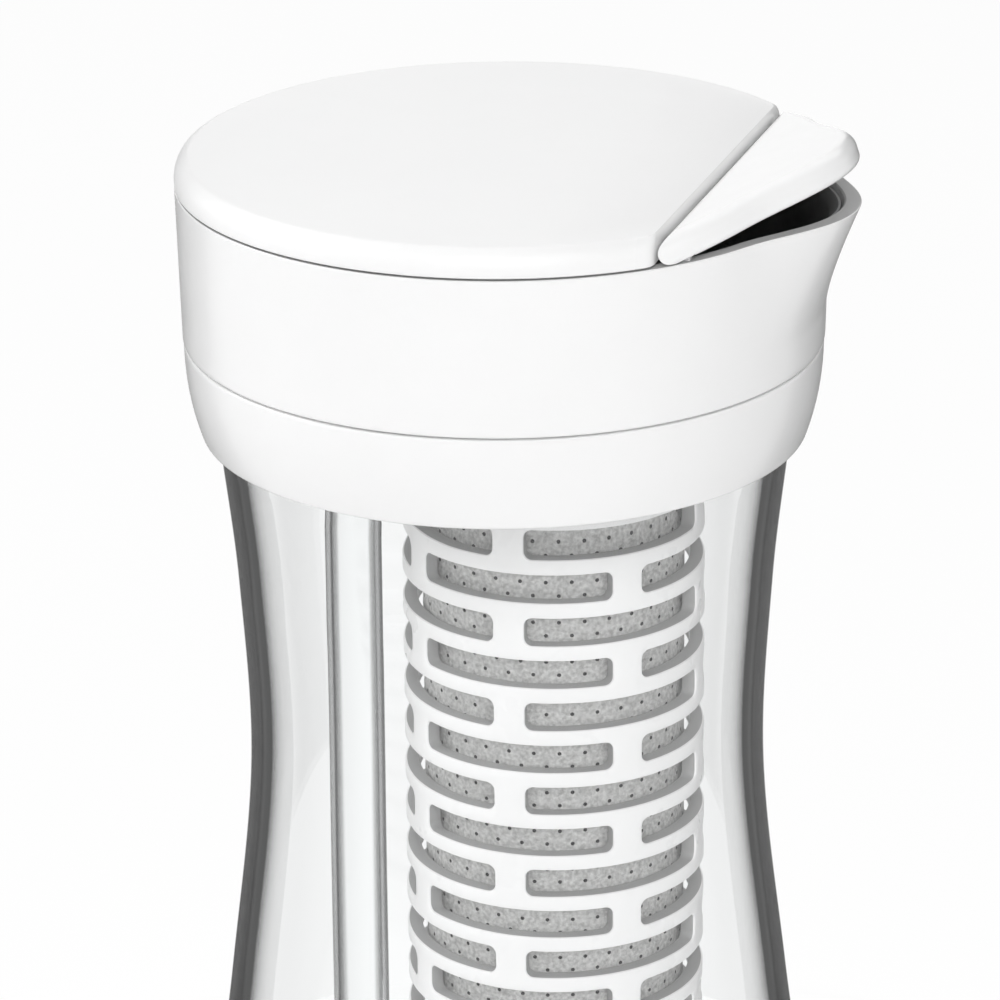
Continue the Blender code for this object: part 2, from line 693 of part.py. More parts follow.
def ear_slot_mesh(name):
    """Make the slot that lets the flap's barrel swing round a hinge ear."""
    radius = EAR_RADIUS + FIT_GAP
    reach = BARREL_RADIUS + CUT_OVERRUN
    outline = [(-reach, -reach), (radius, -reach)]
    for step in range(EAR_ARC_STEPS + 1):
        angle = math.pi / 2 * step / EAR_ARC_STEPS
        outline.append((radius * math.cos(angle), radius * math.sin(angle)))
    outline.append((-reach, radius))
    half = EAR_THICKNESS / 2 + FIT_GAP
    mesh = slab_mesh(name, outline, -half, half)
    mesh.transform(Matrix.Rotation(math.pi / 2, 4, "X"))
    return mesh


def build_flap(hinge):
    """Make the spout flap: a slab and its hinge barrel, trimmed to the rim and slotted for the ears."""
    mesh = slab_mesh("spout_flap", flap_outline(HINGE_X), -BARREL_RADIUS, BARREL_RADIUS)
    shape = bmesh.new()
    shape.from_mesh(mesh)
    rim_edges = []
    for edge in shape.edges:
        flat = abs(edge.verts[0].co.z - edge.verts[1].co.z) < WELD_DISTANCE
        outside = max(vert.co.x for vert in edge.verts) > WELD_DISTANCE
        if flat and outside:
            rim_edges.append(edge)
    bmesh.ops.bevel(shape, geom=rim_edges, offset=FLAP_ROUNDING, segments=2, profile=0.5, affect="EDGES")
    shape.to_mesh(mesh)
    shape.free()
    flap = add_piece("spout_flap", mesh, new_material("white_flap", WHITE, 0.16), hinge)
    back_x = HINGE_X - BARREL_RADIUS
    half_length = math.sqrt(HOUSING_TOP_RADIUS**2 - back_x**2)
    barrel_mesh = cross_cylinder_mesh("flap_barrel", BARREL_RADIUS, half_length, BARREL_STEPS)
    barrel = add_cutter("flap_barrel", barrel_mesh, hinge)
    trim_outline = flap_outline(back_x - CUT_OVERRUN)
    trim_mesh = slab_mesh("barrel_trim", trim_outline, -PLATE_THICKNESS, PLATE_THICKNESS)
    combine(barrel, add_cutter("barrel_trim", trim_mesh, hinge), "INTERSECT")
    combine(flap, barrel, "UNION")
    for side, name in ((-1, "near"), (1, "far")):
        slot = add_cutter(f"ear_slot_{name}", ear_slot_mesh(f"ear_slot_{name}"), hinge, (0, side * EAR_Y, 0))
        combine(flap, slot, "DIFFERENCE")
    reach = EAR_Y + EAR_THICKNESS / 2 + 2 * FIT_GAP
    bore_mesh = cross_cylinder_mesh("flap_bore", PIN_RADIUS + FIT_GAP, reach, PIN_STEPS)
    combine(flap, add_cutter("flap_bore", bore_mesh, hinge), "DIFFERENCE")
    return flap


def build_pin(parent):
    """Make the steel pin that runs through the flap's barrel from ear to ear."""
    half = EAR_Y + EAR_THICKNESS / 2 + FIT_GAP
    mesh = cross_cylinder_mesh("hinge_pin", PIN_RADIUS, half, PIN_STEPS)
    material = new_material("pin_steel", (0.55, 0.55, 0.56), 0.25, metallic=1.0)
    return add_piece("hinge_pin", mesh, material, parent, (HINGE_X, 0, HINGE_Z))


def build_plug(parent):
    """Turn the lid's plug: flange, wall, seal groove and floor, with the two socket bosses."""
    flange_radius = housing_radius(0) - HOUSING_WALL - 2 * FIT_GAP
    groove_top = SEAM_HEIGHT - SEAL_DROP
    groove_bottom = groove_top - SEAL_HEIGHT - 2 * FIT_GAP
    groove_radius = PLUG_RADIUS - SEAL_GROOVE_DEPTH
    bore = groove_radius - PLUG_WALL
    points = [
        (0, PLUG_BOTTOM_Z + PLUG_FLOOR),
        (bore, PLUG_BOTTOM_Z + PLUG_FLOOR),
        (bore, PLUG_TOP_Z),
        (flange_radius, PLUG_TOP_Z),
        (flange_radius, LID_BASE_Z),
        (PLUG_RADIUS, LID_BASE_Z),
        (PLUG_RADIUS, groove_top),
        (groove_radius, groove_top),
        (groove_radius, groove_bottom),
        (PLUG_RADIUS, groove_bottom),
        (PLUG_RADIUS, PLUG_BOTTOM_Z),
        (0, PLUG_BOTTOM_Z),
    ]
    material = new_material("white_plug", WHITE, 0.25)
    plug = turned_piece("lid_plug", points, PLUG_STEPS, material, parent, closed=False)
    filter_place = (FILTER_OFFSET, 0, 0)
    tube_place = (-TUBE_OFFSET, 0, 0)
    socket = cylinder_mesh(
        "socket_boss", SOCKET_BORE + SOCKET_WALL, SOCKET_BASE_Z, PLUG_TOP_Z, FILTER_STEPS
    )
    boss = cylinder_mesh("tube_boss", BOSS_BORE + BOSS_WALL, PLUG_BOTTOM_Z + FIT_GAP, PLUG_TOP_Z, TUBE_STEPS)
    bore_low = SOCKET_BASE_Z - CUT_OVERRUN
    bore_high = PLUG_TOP_Z + CUT_OVERRUN
    socket_bore = cylinder_mesh("socket_bore", SOCKET_BORE, bore_low, SOCKET_SHOULDER_Z, FILTER_STEPS)
    outlet_low = SOCKET_SHOULDER_Z - CUT_OVERRUN
    outlet = cylinder_mesh("outlet_bore", OUTLET_RADIUS, outlet_low, bore_high, FILTER_STEPS)
    tube_low = PLUG_BOTTOM_Z - CUT_OVERRUN
    tube_bore = cylinder_mesh("tube_boss_bore", BOSS_BORE, tube_low, bore_high, TUBE_STEPS)
    combine(plug, add_cutter("socket_boss", socket, parent, filter_place), "UNION")
    combine(plug, add_cutter("tube_boss", boss, parent, tube_place), "UNION")
    combine(plug, add_cutter("socket_bore", socket_bore, parent, filter_place), "DIFFERENCE")
    combine(plug, add_cutter("outlet_bore", outlet, parent, filter_place), "DIFFERENCE")
    combine(plug, add_cutter("tube_boss_bore", tube_bore, parent, tube_place), "DIFFERENCE")
    return plug


def build_seal(parent):
    """Turn the silicone seal that sits in the plug's groove and presses on the glass."""
    inner = PLUG_RADIUS - SEAL_GROOVE_DEPTH + FIT_GAP
    outer = NECK_RADIUS - GLASS_WALL - 2 * FIT_GAP
    top = SEAM_HEIGHT - SEAL_DROP - FIT_GAP
    middle = top - SEAL_HEIGHT / 2
    points = [
        (inner, top),
        (PLUG_RADIUS, top),
        (outer, middle),
        (PLUG_RADIUS, top - SEAL_HEIGHT),
        (inner, top - SEAL_HEIGHT),
    ]
    material = new_material("seal_silicone", (0.62, 0.63, 0.63), 0.55)
    return turned_piece("lid_seal", points, RING_STEPS, material, parent)


def build_tube(parent):
    """Turn the clear air tube and the grommet that holds it in the plug."""
    tube = tube_points(TUBE_RADIUS, TUBE_RADIUS - TUBE_WALL, TUBE_BOTTOM, TUBE_TOP)
    clear = new_material("clear_tube", (0.90, 0.91, 0.91), 0.05, transmission=1.0)
    turned_piece("air_tube", tube, TUBE_STEPS, clear, parent)
    bore = TUBE_RADIUS + FIT_GAP
    flange_top = PLUG_BOTTOM_Z - FIT_GAP
    points = [
        (GROMMET_RADIUS, GROMMET_TOP),
        (GROMMET_RADIUS, flange_top),
        (BOSS_BORE + BOSS_WALL, flange_top),
        (BOSS_BORE + BOSS_WALL, flange_top - GROMMET_FLANGE),
        (bore, flange_top - GROMMET_FLANGE),
        (bore, GROMMET_TOP),
    ]
    silicone = new_material("grommet_silicone", (0.70, 0.71, 0.71), 0.55)
    turned_piece("tube_grommet", points, TUBE_STEPS, silicone, parent)


def slot_cutter_mesh():
    """Make the cutters of all the slots: arcs of one wall section, spun, copied and staggered."""
    mesh = bpy.data.meshes.new("cage_slots")
    shape = bmesh.new()
    arc = 2 * math.pi / SLOTS_PER_ROW - SLOT_LAND
    inner = CAGE_BORE - CUT_OVERRUN
    outer = CAGE_RADIUS + CUT_OVERRUN
    corners = [(inner, 0), (outer, 0), (outer, SLOT_HEIGHT), (inner, SLOT_HEIGHT)]
    section = shape.faces.new([shape.verts.new((radius, 0, height)) for radius, height in corners])
    bmesh.ops.rotate(shape, verts=shape.verts, matrix=Matrix.Rotation(-arc / 2, 3, "Z"))
    bmesh.ops.spin(
        shape,
        geom=[section, *section.edges, *section.verts],
        axis=(0, 0, 1),
        cent=(0, 0, 0),
        angle=arc,
        steps=SLOT_ARC_STEPS,
    )
    bmesh.ops.recalc_face_normals(shape, faces=shape.faces)
    end_edges = []
    for edge in shape.edges:
        first, second = (vert.co for vert in edge.verts)
        radial = abs(first.xy.length - second.xy.length) > CAGE_WALL
        at_end = abs(abs(math.atan2(first.y, first.x)) - arc / 2) < SLOT_LAND / 10
        if radial and at_end:
            end_edges.append(edge)
    bmesh.ops.bevel(
        shape, geom=end_edges, offset=SLOT_CORNER, segments=SLOT_CORNER_STEPS, profile=0.5, affect="EDGES"
    )
    first_slot = list(shape.verts) + list(shape.edges) + list(shape.faces)
    spacing = 2 * math.pi / SLOTS_PER_ROW
    for row in range(SLOT_ROWS):
        stagger = spacing / 2 * ((row + 1) % 2)
        for place in range(SLOTS_PER_ROW):
            copy = bmesh.ops.duplicate(shape, geom=first_slot)
            verts = [item for item in copy["geom"] if isinstance(item, bmesh.types.BMVert)]
            rotation = Matrix.Rotation(spacing * place + stagger, 3, "Z")
            bmesh.ops.rotate(shape, verts=verts, cent=(0, 0, 0), matrix=rotation)
            drop = SLOT_TOP_Z - SLOT_HEIGHT - SLOT_PITCH * row
            bmesh.ops.translate(shape, verts=verts, vec=(0, 0, drop))
    bmesh.ops.delete(shape, geom=[item for item in first_slot if isinstance(item, bmesh.types.BMVert)])
    shape.to_mesh(mesh)
    shape.free()
    return mesh


def build_cage(parent):
    """Turn the filter cage and cut its staggered rows of slots."""
    points = tube_points(CAGE_RADIUS, CAGE_BORE, CAGE_BOTTOM, CAGE_TOP)
    material = new_material("white_cage", WHITE, 0.3)
    cage = turned_piece("filter_cage", points, CAGE_STEPS, material, parent)
    combine(cage, add_cutter("cage_slots", slot_cutter_mesh(), parent), "DIFFERENCE")
    return cage


def build_head(parent):
    """Turn the holder's head, with a neck that plugs into the lid, and its two sealing rings."""
    skirt = CAGE_BORE - 2 * FIT_GAP
    disc_top = HEAD_DISC_TOP_Z
    ring_heights = [HEAD_TOP_Z - drop for drop in HEAD_RING_DROPS]
    groove_floor = HEAD_NECK_RADIUS - RING_CORD_RADIUS
    points = [(HEAD_NECK_BORE, HEAD_TOP_Z), (HEAD_NECK_RADIUS, HEAD_TOP_Z)]
    for height in ring_heights:
        points += groove_points(HEAD_NECK_RADIUS, groove_floor, height)
    points += [
        (HEAD_NECK_RADIUS, disc_top),
        (CAGE_RADIUS, disc_top),
        (CAGE_RADIUS, HEAD_BASE_Z),
        (skirt, HEAD_BASE_Z),
        (skirt, HEAD_BASE_Z - HEAD_SKIRT),
        (skirt - HEAD_SKIRT_WALL, HEAD_BASE_Z - HEAD_SKIRT),
        (skirt - HEAD_SKIRT_WALL, HEAD_BASE_Z),
        (HEAD_NECK_BORE, HEAD_BASE_Z),
    ]
    material = new_material("white_head", WHITE, 0.3)
    turned_piece("holder_head", points, FILTER_STEPS, material, parent)
    ring_radius = groove_floor + FIT_GAP + RING_CORD_RADIUS
    for number, height in enumerate(ring_heights, start=1):
        rubber = new_material(f"head_ring_rubber_{number}", CHARCOAL, 0.5)
        points = cord_ring_points(ring_radius, height)
        turned_piece(f"head_ring_{number}", points, FILTER_STEPS, rubber, parent)


def build_cartridge(parent):
    """Turn the cartridge: perforated sleeve, carbon block, core tube and its two caps."""
    grey = new_material("sleeve_grey", (0.52, 0.52, 0.51), 0.8)
    sleeve_bore = SLEEVE_RADIUS - SLEEVE_WALL
    sleeve = tube_points(SLEEVE_RADIUS, sleeve_bore, SLEEVE_BASE_Z, SLEEVE_TOP)
    turned_piece("cartridge_sleeve", sleeve, FILTER_STEPS, grey, parent)
    carbon = new_material("carbon_block", (0.03, 0.03, 0.03), 0.9)
    block = tube_points(sleeve_bore - 2 * FIT_GAP, CORE_BORE, SLEEVE_BASE_Z, SLEEVE_TOP)
    turned_piece("carbon_core", block, FILTER_STEPS, carbon, parent)
    tube_outer = CORE_BORE - 2 * FIT_GAP
    core = tube_points(tube_outer, tube_outer - CORE_TUBE_WALL, SLEEVE_BASE_Z, SLEEVE_TOP)
    turned_piece("core_tube", core, TUBE_STEPS, new_material("white_core", WHITE, 0.4), parent)
    build_cartridge_top(parent)
    build_cartridge_base(parent)


def build_cartridge_top(parent):
    """Turn the cartridge's top cap, with a spigot and one sealing ring in the head's neck."""
    spigot_top = SPIGOT_BASE_Z + SPIGOT_HEIGHT
    ring_z = spigot_top - SPIGOT_RING_DROP
    groove_floor = SPIGOT_RADIUS - RING_CORD_RADIUS - FIT_GAP
    points = [(SPIGOT_BORE, spigot_top), (SPIGOT_RADIUS, spigot_top)]
    points += groove_points(SPIGOT_RADIUS, groove_floor, ring_z)
    points += [
        (SPIGOT_RADIUS, SPIGOT_BASE_Z),
        (SLEEVE_RADIUS, SPIGOT_BASE_Z),
        (SLEEVE_RADIUS, CARTRIDGE_CAP_Z),
        (SPIGOT_BORE, CARTRIDGE_CAP_Z),
    ]
    turned_piece("cartridge_top", points, FILTER_STEPS, new_material("white_top", WHITE, 0.35), parent)
    rubber = new_material("spigot_ring_rubber", CHARCOAL, 0.5)
    ring = cord_ring_points(groove_floor + FIT_GAP + RING_CORD_RADIUS, ring_z)
    turned_piece("spigot_ring", ring, FILTER_STEPS, rubber, parent)


def build_cartridge_base(parent):
    """Turn the cartridge's base cap, which closes the cage, and add its finger bar."""
    flange_top = CAGE_BOTTOM - FIT_GAP
    flange_low = flange_top - BASE_FLANGE
    plug_radius = SLEEVE_RADIUS
    points = [
        (0, CAGE_BOTTOM + BASE_PLUG),
        (plug_radius, CAGE_BOTTOM + BASE_PLUG),
        (plug_radius, flange_top),
        (CAGE_RADIUS, flange_top),
        (CAGE_RADIUS, flange_low + GRIP_EDGE),
        (CAGE_RADIUS - GRIP_EDGE, flange_low),
        (0, flange_low),
    ]
    material = new_material("white_base", WHITE, 0.35)
    base = turned_piece("cartridge_base", points, FILTER_STEPS, material, parent, closed=False)
    half_length = CAGE_RADIUS - GRIP_WIDTH
    low = (-half_length, -GRIP_WIDTH / 2, flange_low - GRIP_HEIGHT)
    high = (half_length, GRIP_WIDTH / 2, flange_low + CUT_OVERRUN)
    combine(base, add_cutter("finger_bar", box_mesh("finger_bar", low, high), parent), "UNION")


clear_scene()
PARTS = new_collection("water_filter_pitcher")
CUTTERS = new_collection("cutters")

carafe_axis = add_axis("carafe_axis", (AXIS_X, 0, 0))
lid_axis = add_axis("lid_axis", (0, 0, 0), carafe_axis)
filter_axis = add_axis("filter_axis", (FILTER_OFFSET, 0, 0), lid_axis)
tube_axis = add_axis("tube_axis", (-TUBE_OFFSET, 0, 0), lid_axis)
hinge_axis = add_axis("hinge_axis", (HINGE_X, 0, HINGE_Z), lid_axis)
hinge_axis.rotation_euler = (0, -FLAP_OPEN_ANGLE, 0)

build_glass(carafe_axis)
build_collar(carafe_axis)
build_band(carafe_axis)
build_seal(lid_axis)
build_plug(lid_axis)
build_housing(lid_axis)
build_cup(lid_axis)
build_plate(lid_axis)
build_pin(lid_axis)
build_flap(hinge_axis)
build_tube(tube_axis)
build_cage(filter_axis)
build_head(filter_axis)
build_cartridge(filter_axis)

for piece in PARTS.objects:
    if piece.type == "MESH":
        shade_round(piece)
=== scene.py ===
"""Dress the water filter pitcher: glass carafe, pouring lid, slotted filter holder and cartridge.

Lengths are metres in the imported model's frame. The spout points along +X and the foot is at z = 0.
"""

import json
import logging
import math
from dataclasses import dataclass
from enum import Enum
from typing import Iterable, Sequence

import bmesh
import bpy
from mathutils import Matrix, Vector

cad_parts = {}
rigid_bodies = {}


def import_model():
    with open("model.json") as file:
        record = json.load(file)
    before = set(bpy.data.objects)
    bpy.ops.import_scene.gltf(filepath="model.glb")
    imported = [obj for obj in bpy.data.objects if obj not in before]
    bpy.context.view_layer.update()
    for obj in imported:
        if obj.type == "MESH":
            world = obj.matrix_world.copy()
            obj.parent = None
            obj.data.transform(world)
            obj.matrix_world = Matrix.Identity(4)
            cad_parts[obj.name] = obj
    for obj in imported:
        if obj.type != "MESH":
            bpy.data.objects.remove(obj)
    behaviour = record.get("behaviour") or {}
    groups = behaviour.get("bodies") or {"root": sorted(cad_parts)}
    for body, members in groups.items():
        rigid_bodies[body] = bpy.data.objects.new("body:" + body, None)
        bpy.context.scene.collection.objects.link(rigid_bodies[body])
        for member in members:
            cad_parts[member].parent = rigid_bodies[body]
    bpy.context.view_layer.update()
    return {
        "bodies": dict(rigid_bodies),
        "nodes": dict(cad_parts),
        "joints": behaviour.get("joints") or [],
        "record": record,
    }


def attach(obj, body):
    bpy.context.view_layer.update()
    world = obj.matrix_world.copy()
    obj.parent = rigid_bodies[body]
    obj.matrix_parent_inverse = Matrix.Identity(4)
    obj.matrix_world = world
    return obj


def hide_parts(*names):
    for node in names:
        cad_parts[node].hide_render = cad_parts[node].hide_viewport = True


LOG = logging.getLogger("pitcher")
Point = tuple[float, float]
Colour = tuple[float, float, float]
Socket = bpy.types.NodeSocket
Vert = bmesh.types.BMVert
AXIS_X = -0.00155
HOLDER_OFFSET = 0.0080
HOLDER_X = AXIS_X + HOLDER_OFFSET
FIT_GAP = 0.0003
SHARP_ANGLE = math.radians(30)
NOISE_LOW = 0.3
NOISE_HIGH = 0.7
BORE_SEGMENTS = 64
ROD_SEGMENTS = 32


class Body(Enum):
    """The moving bodies that pieces ride on."""

    CARAFE = "carafe"
    SEAL = "seal"
    LID = "lid"
    FLAP = "flap"
    HOLDER = "filter_holder"
    CARTRIDGE = "cartridge"


class Recipe:
    """A material's or the world's node tree, with short calls that add nodes and join them."""

    def __init__(self, owner: bpy.types.Material | bpy.types.World) -> None:
        """Start with the shader and the output that a new node tree has.

        Args:
            owner: The new material or world.
        """
        owner.use_nodes = True
        self.tree = owner.node_tree
        for node in self.tree.nodes:
            if node.type.startswith("OUTPUT"):
                self.output = node
            else:
                self.shader = node

    def fill(self, node: bpy.types.Node, inputs: dict) -> None:
        """Fill a node's sockets.

        Args:
            node: The node.
            inputs: Values, or sockets to join, by socket name or number.
        """
        for key, value in inputs.items():
            if isinstance(value, Socket):
                self.tree.links.new(value, node.inputs[key])
            else:
                node.inputs[key].default_value = value

    def add(self, kind: str, inputs: dict | None = None, **settings: object) -> bpy.types.Node:
        """Add a node.

        Args:
            kind: The node's type name, without its ShaderNode start.
            inputs: Values, or sockets to join, by socket name or number.
            settings: Values for its own properties.

        Returns:
            The new node.
        """
        node = self.tree.nodes.new("ShaderNode" + kind)
        for key, value in settings.items():
            setattr(node, key, value)
        self.fill(node, inputs or {})
        return node

    def set(self, **values: object) -> None:
        """Fill sockets of the shader, with underscores for the spaces in their names."""
        self.fill(self.shader, {key.replace("_", " "): value for key, value in values.items()})

    def compute(self, operation: str, *terms: Socket | float) -> Socket:
        """Compute a value from sockets and numbers, by the name of an operation."""
        return self.add("Math", dict(enumerate(terms)), operation=operation).outputs[0]

    def spot(self) -> Socket:
        """Give the place on the object."""
        return self.add("TexCoord").outputs["Object"]

    def noise(self, scale: float, detail: float = 3.0) -> Socket:
        """Add noise in object space, which runs about from NOISE_LOW to NOISE_HIGH."""
        inputs = {"Vector": self.spot(), "Scale": scale, "Detail": detail, "Roughness": 0.55}
        return self.add("TexNoise", inputs).outputs[0]

    def spread(self, noise: Socket, low: float, high: float) -> Socket:
        """Spread noise over a range."""
        inputs = {"From Min": NOISE_LOW, "From Max": NOISE_HIGH, "To Min": low, "To Max": high}
        return self.add("MapRange", {"Value": noise, **inputs}).outputs[0]

    def ramp(self, value: Socket, stops: Sequence[tuple[float, Sequence[float]]]) -> Socket:
        """Turn a value into a colour.

        Args:
            value: The value.
            stops: Values, in rising order, with their colours.

        Returns:
            The colour.
        """
        node = self.add("ValToRGB", {"Fac": value})
        marks = node.color_ramp.elements
        while len(marks) < len(stops):
            marks.new(1.0)
        for mark, (position, colour) in zip(marks, stops):
            mark.position = position
            mark.color = (*colour, 1)
        return node.outputs["Color"]

    def blend(self, noise: Socket, dark: Sequence[float], light: Sequence[float]) -> Socket:
        """Blend two colours by noise."""
        return self.ramp(noise, ((NOISE_LOW, dark), (NOISE_HIGH, light)))

    def bump(self, value: Socket, depth: float) -> None:
        """Let a value raise the surface by at most a depth."""
        node = self.add("Bump", {"Strength": 1.0, "Distance": depth, "Height": value})
        self.set(Normal=node.outputs["Normal"])

    def seen(self) -> Socket:
        """Tell what is seen directly, in a reflection or through clear parts.

        Returns:
            A socket that is 1 for such rays and 0 for others.
        """
        path = self.add("LightPath").outputs
        direct_or_mirrored = self.compute("MAXIMUM", path["Is Camera Ray"], path["Is Glossy Ray"])
        return self.compute("MAXIMUM", direct_or_mirrored, path["Is Transmission Ray"])

    def show(self, share: Socket, first: Socket, second: Socket) -> None:
        """Show a mix of two shaders, with the second one's share."""
        mix = self.add("MixShader", {0: share, 1: first, 2: second})
        self.fill(self.output, {"Surface": mix.outputs[0]})


@dataclass(frozen=True)
class Substance:
    """A named finish, whose material is made when it is first used."""

    name: str

    def material(self) -> bpy.types.Material:
        """Give the material.

        Returns:
            The material, new if no piece had it yet.
        """
        made = bpy.data.materials.get(self.name)
        if made is None:
            made = bpy.data.materials.new(self.name)
            self.compose(Recipe(made))
        return made

    def compose(self, recipe: Recipe) -> None:
        """Fill in the material's nodes."""
        raise NotImplementedError


@dataclass(frozen=True)
class MouldedPlastic(Substance):
    """Moulded plastic: faint flow mottling, a fine mould texture and an uneven gloss."""

    colour: Colour
    roughness: float = 0.25
    mottle: float = 0.02
    texture_scale: float = 900.0
    texture_depth: float = 0.000004
    coat: float = 0.0
    flow_scale: float = 38.0
    gloss_scale: float = 140.0
    gloss_spread: float = 0.15

    def compose(self, recipe: Recipe) -> None:
        """Fill in the material's nodes.

        Args:
            recipe: The new material's node tree.
        """
        dark = [value * (1 - self.mottle) for value in self.colour]
        low, high = self.roughness * (1 - self.gloss_spread), self.roughness * (1 + self.gloss_spread)
        gloss = recipe.spread(recipe.noise(self.gloss_scale), low, high)
        recipe.set(Base_Color=recipe.blend(recipe.noise(self.flow_scale), dark, self.colour), Roughness=gloss)
        recipe.bump(recipe.noise(self.texture_scale), self.texture_depth)
        recipe.set(IOR=1.46, Specular_IOR_Level=0.35, Coat_Weight=self.coat, Coat_Roughness=0.08)


@dataclass(frozen=True)
class ClearMaterial(Substance):
    """Clear glass or clear plastic whose colour is painted darker where it turns away, a painted shade for
    its dark edges, and which lets lamp light through.
    """

    ior: float
    wave_scale: float
    wave_depth: float
    painted_edge_shade_stops: tuple[Point, ...]
    tint: Colour = (0.985, 0.99, 0.99)

    def compose(self, recipe: Recipe) -> None:
        """Fill in the material's nodes.

        Args:
            recipe: The new material's node tree.
        """
        # Painted shade: the ramp darkens the colour towards grazing angles, standing in for the dark edges
        # that refraction gives.
        turned = recipe.add("LayerWeight", {"Blend": 0.5}).outputs["Facing"]
        stops = [(place, [value * level for value in self.tint]) for place, level in self.painted_edge_shade_stops]
        recipe.set(Base_Color=recipe.ramp(turned, stops), Transmission_Weight=1.0)
        recipe.set(Roughness=0.0, IOR=self.ior)
        recipe.bump(recipe.noise(self.wave_scale, 1.0), self.wave_depth)
        path = recipe.add("LightPath").outputs
        passing = recipe.compute("MAXIMUM", path["Is Shadow Ray"], path["Is Diffuse Ray"])
        recipe.show(passing, recipe.shader.outputs[0], recipe.add("BsdfTransparent").outputs[0])


@dataclass(frozen=True)
class SpeckledSleeve(Substance):
    """The cartridge's pressed grey sleeve, with light and dark flecks."""

    dark: Colour
    light: Colour
    fleck_scale: float = 1500.0
    fleck_depth: float = 0.00006
    gloss_scale: float = 600.0
    roughness: Point = (0.65, 0.9)

    def compose(self, recipe: Recipe) -> None:
        """Fill in the material's nodes.

        Args:
            recipe: The new material's node tree.
        """
        flecks = recipe.noise(self.fleck_scale, 4.0)
        gloss = recipe.spread(recipe.noise(self.gloss_scale), *self.roughness)
        recipe.set(Base_Color=recipe.blend(flecks, self.dark, self.light), Roughness=gloss)
        recipe.bump(flecks, self.fleck_depth)


@dataclass(frozen=True)
class Silicone(Substance):
    """Soft moulded silicone or rubber with a dusty, slightly uneven skin."""

    colour: Colour
    roughness: float = 0.5
    dapple_scale: float = 220.0
    dust_scale: float = 700.0
    skin_scale: float = 1600.0
    skin_depth: float = 0.00001

    def compose(self, recipe: Recipe) -> None:
        """Fill in the material's nodes.

        Args:
            recipe: The new material's node tree.
        """
        pale = [min(value * 1.25 + 0.01, 0.9) for value in self.colour]
        dust = recipe.spread(recipe.noise(self.dust_scale), self.roughness * 0.85, self.roughness * 1.2)
        dapple = recipe.blend(recipe.noise(self.dapple_scale), self.colour, pale)
        recipe.set(Base_Color=dapple, Roughness=dust)
        recipe.bump(recipe.noise(self.skin_scale), self.skin_depth)


@dataclass(frozen=True)
class DrawnSteel(Substance):
    """Drawn steel wire, with fine lines along its length, which lies along Y."""

    dark: Colour = (0.46, 0.46, 0.47)
    light: Colour = (0.62, 0.62, 0.63)
    line_scale: tuple[float, float, float] = (6000.0, 120.0, 6000.0)
    roughness: Point = (0.2, 0.36)

    def compose(self, recipe: Recipe) -> None:
        """Fill in the material's nodes.

        Args:
            recipe: The new material's node tree.
        """
        stretch = recipe.add("Mapping", {"Vector": recipe.spot(), "Scale": self.line_scale})
        lines = recipe.add("TexNoise", {"Vector": stretch.outputs[0], "Scale": 1.0, "Detail": 2.0}).outputs[0]
        colour = recipe.blend(lines, self.dark, self.light)
        recipe.set(Base_Color=colour, Roughness=recipe.spread(lines, *self.roughness), Metallic=1.0)


@dataclass(frozen=True)
class PressedCarbon(Substance):
    """Pressed carbon grains."""

    dark: Colour = (0.012, 0.012, 0.012)
    light: Colour = (0.06, 0.06, 0.06)
    grain_scale: float = 1400.0
    grain_depth: float = 0.0002
    roughness: float = 0.85

    def compose(self, recipe: Recipe) -> None:
        """Fill in the material's nodes.

        Args:
            recipe: The new material's node tree.
        """
        grains = recipe.add("TexVoronoi", {"Vector": recipe.spot(), "Scale": self.grain_scale})
        distance = grains.outputs["Distance"]
        recipe.set(Base_Color=recipe.blend(distance, self.dark, self.light), Roughness=self.roughness)
        recipe.bump(distance, self.grain_depth)


def grey(level: float) -> Colour:
    """Give a neutral colour.

    Args:
        level: Its lightness.

    Returns:
        The colour.
    """
    return level, level, level


class Finish(Enum):
    """Every finish of the pitcher."""

    WHITE = MouldedPlastic("gloss white plastic", grey(0.88), 0.22, coat=0.25)
    PLATE = MouldedPlastic("satin white plate", grey(0.88), 0.34, 0.012, 1100.0)
    FLAP = MouldedPlastic("gloss white flap", grey(0.9), 0.18, 0.012, coat=0.3)
    RIM = MouldedPlastic("grey rim", grey(0.46), 0.45, 0.05, 1400.0)
    # Painted shade: the cup's dark grey stands in for the deep shade inside the spout under the flap.
    CUP_PAINTED_SHADE = MouldedPlastic("dark cup painted shade", (0.22, 0.22, 0.222), 0.45, 0.12, 1400.0)
    # GLASS and CLEAR_TUBE carry painted shade: their colour darkens at grazing angles. INNER_GLASS has none.
    GLASS = ClearMaterial(
        "clear glass", 1.5, 30.0, 0.00001, ((0, 1.0), (0.7, 1.0), (0.73, 0.18), (0.775, 0.035), (0.82, 0.026))
    )
    INNER_GLASS = ClearMaterial("clear glass inside", 1.5, 30.0, 0.00001, ((0, 1.0), (1, 1.0)))
    CLEAR_TUBE = ClearMaterial(
        "clear tube", 1.12, 60.0, 0.000006, ((0, 1.0), (0.28, 1.0), (0.38, 0.4), (0.8, 0.4))
    )
    CAGE = MouldedPlastic("white cage", grey(0.9), 0.3, 0.02, 1000.0)
    # Painted shade: the slot walls are grey to stand in for the shade inside the slots.
    SLOT_WALL_SHADE = MouldedPlastic("slot wall painted shade", grey(0.37), 0.5, 0.06, 1600.0)
    SLEEVE = SpeckledSleeve("speckled sleeve", (0.38, 0.38, 0.375), (0.74, 0.74, 0.73))
    # Painted shade: the near-black stands in for the shade inside the pinholes.
    PINHOLE_SHADE = MouldedPlastic("pinhole", grey(0.05), 0.8, 0.2, 1800.0)
    PALE_SILICONE = Silicone("pale silicone", (0.55, 0.555, 0.55))
    BLACK_RUBBER = Silicone("black rubber", (0.022, 0.022, 0.024))
    STEEL = DrawnSteel("drawn steel")
    CARBON = PressedCarbon("pressed carbon")


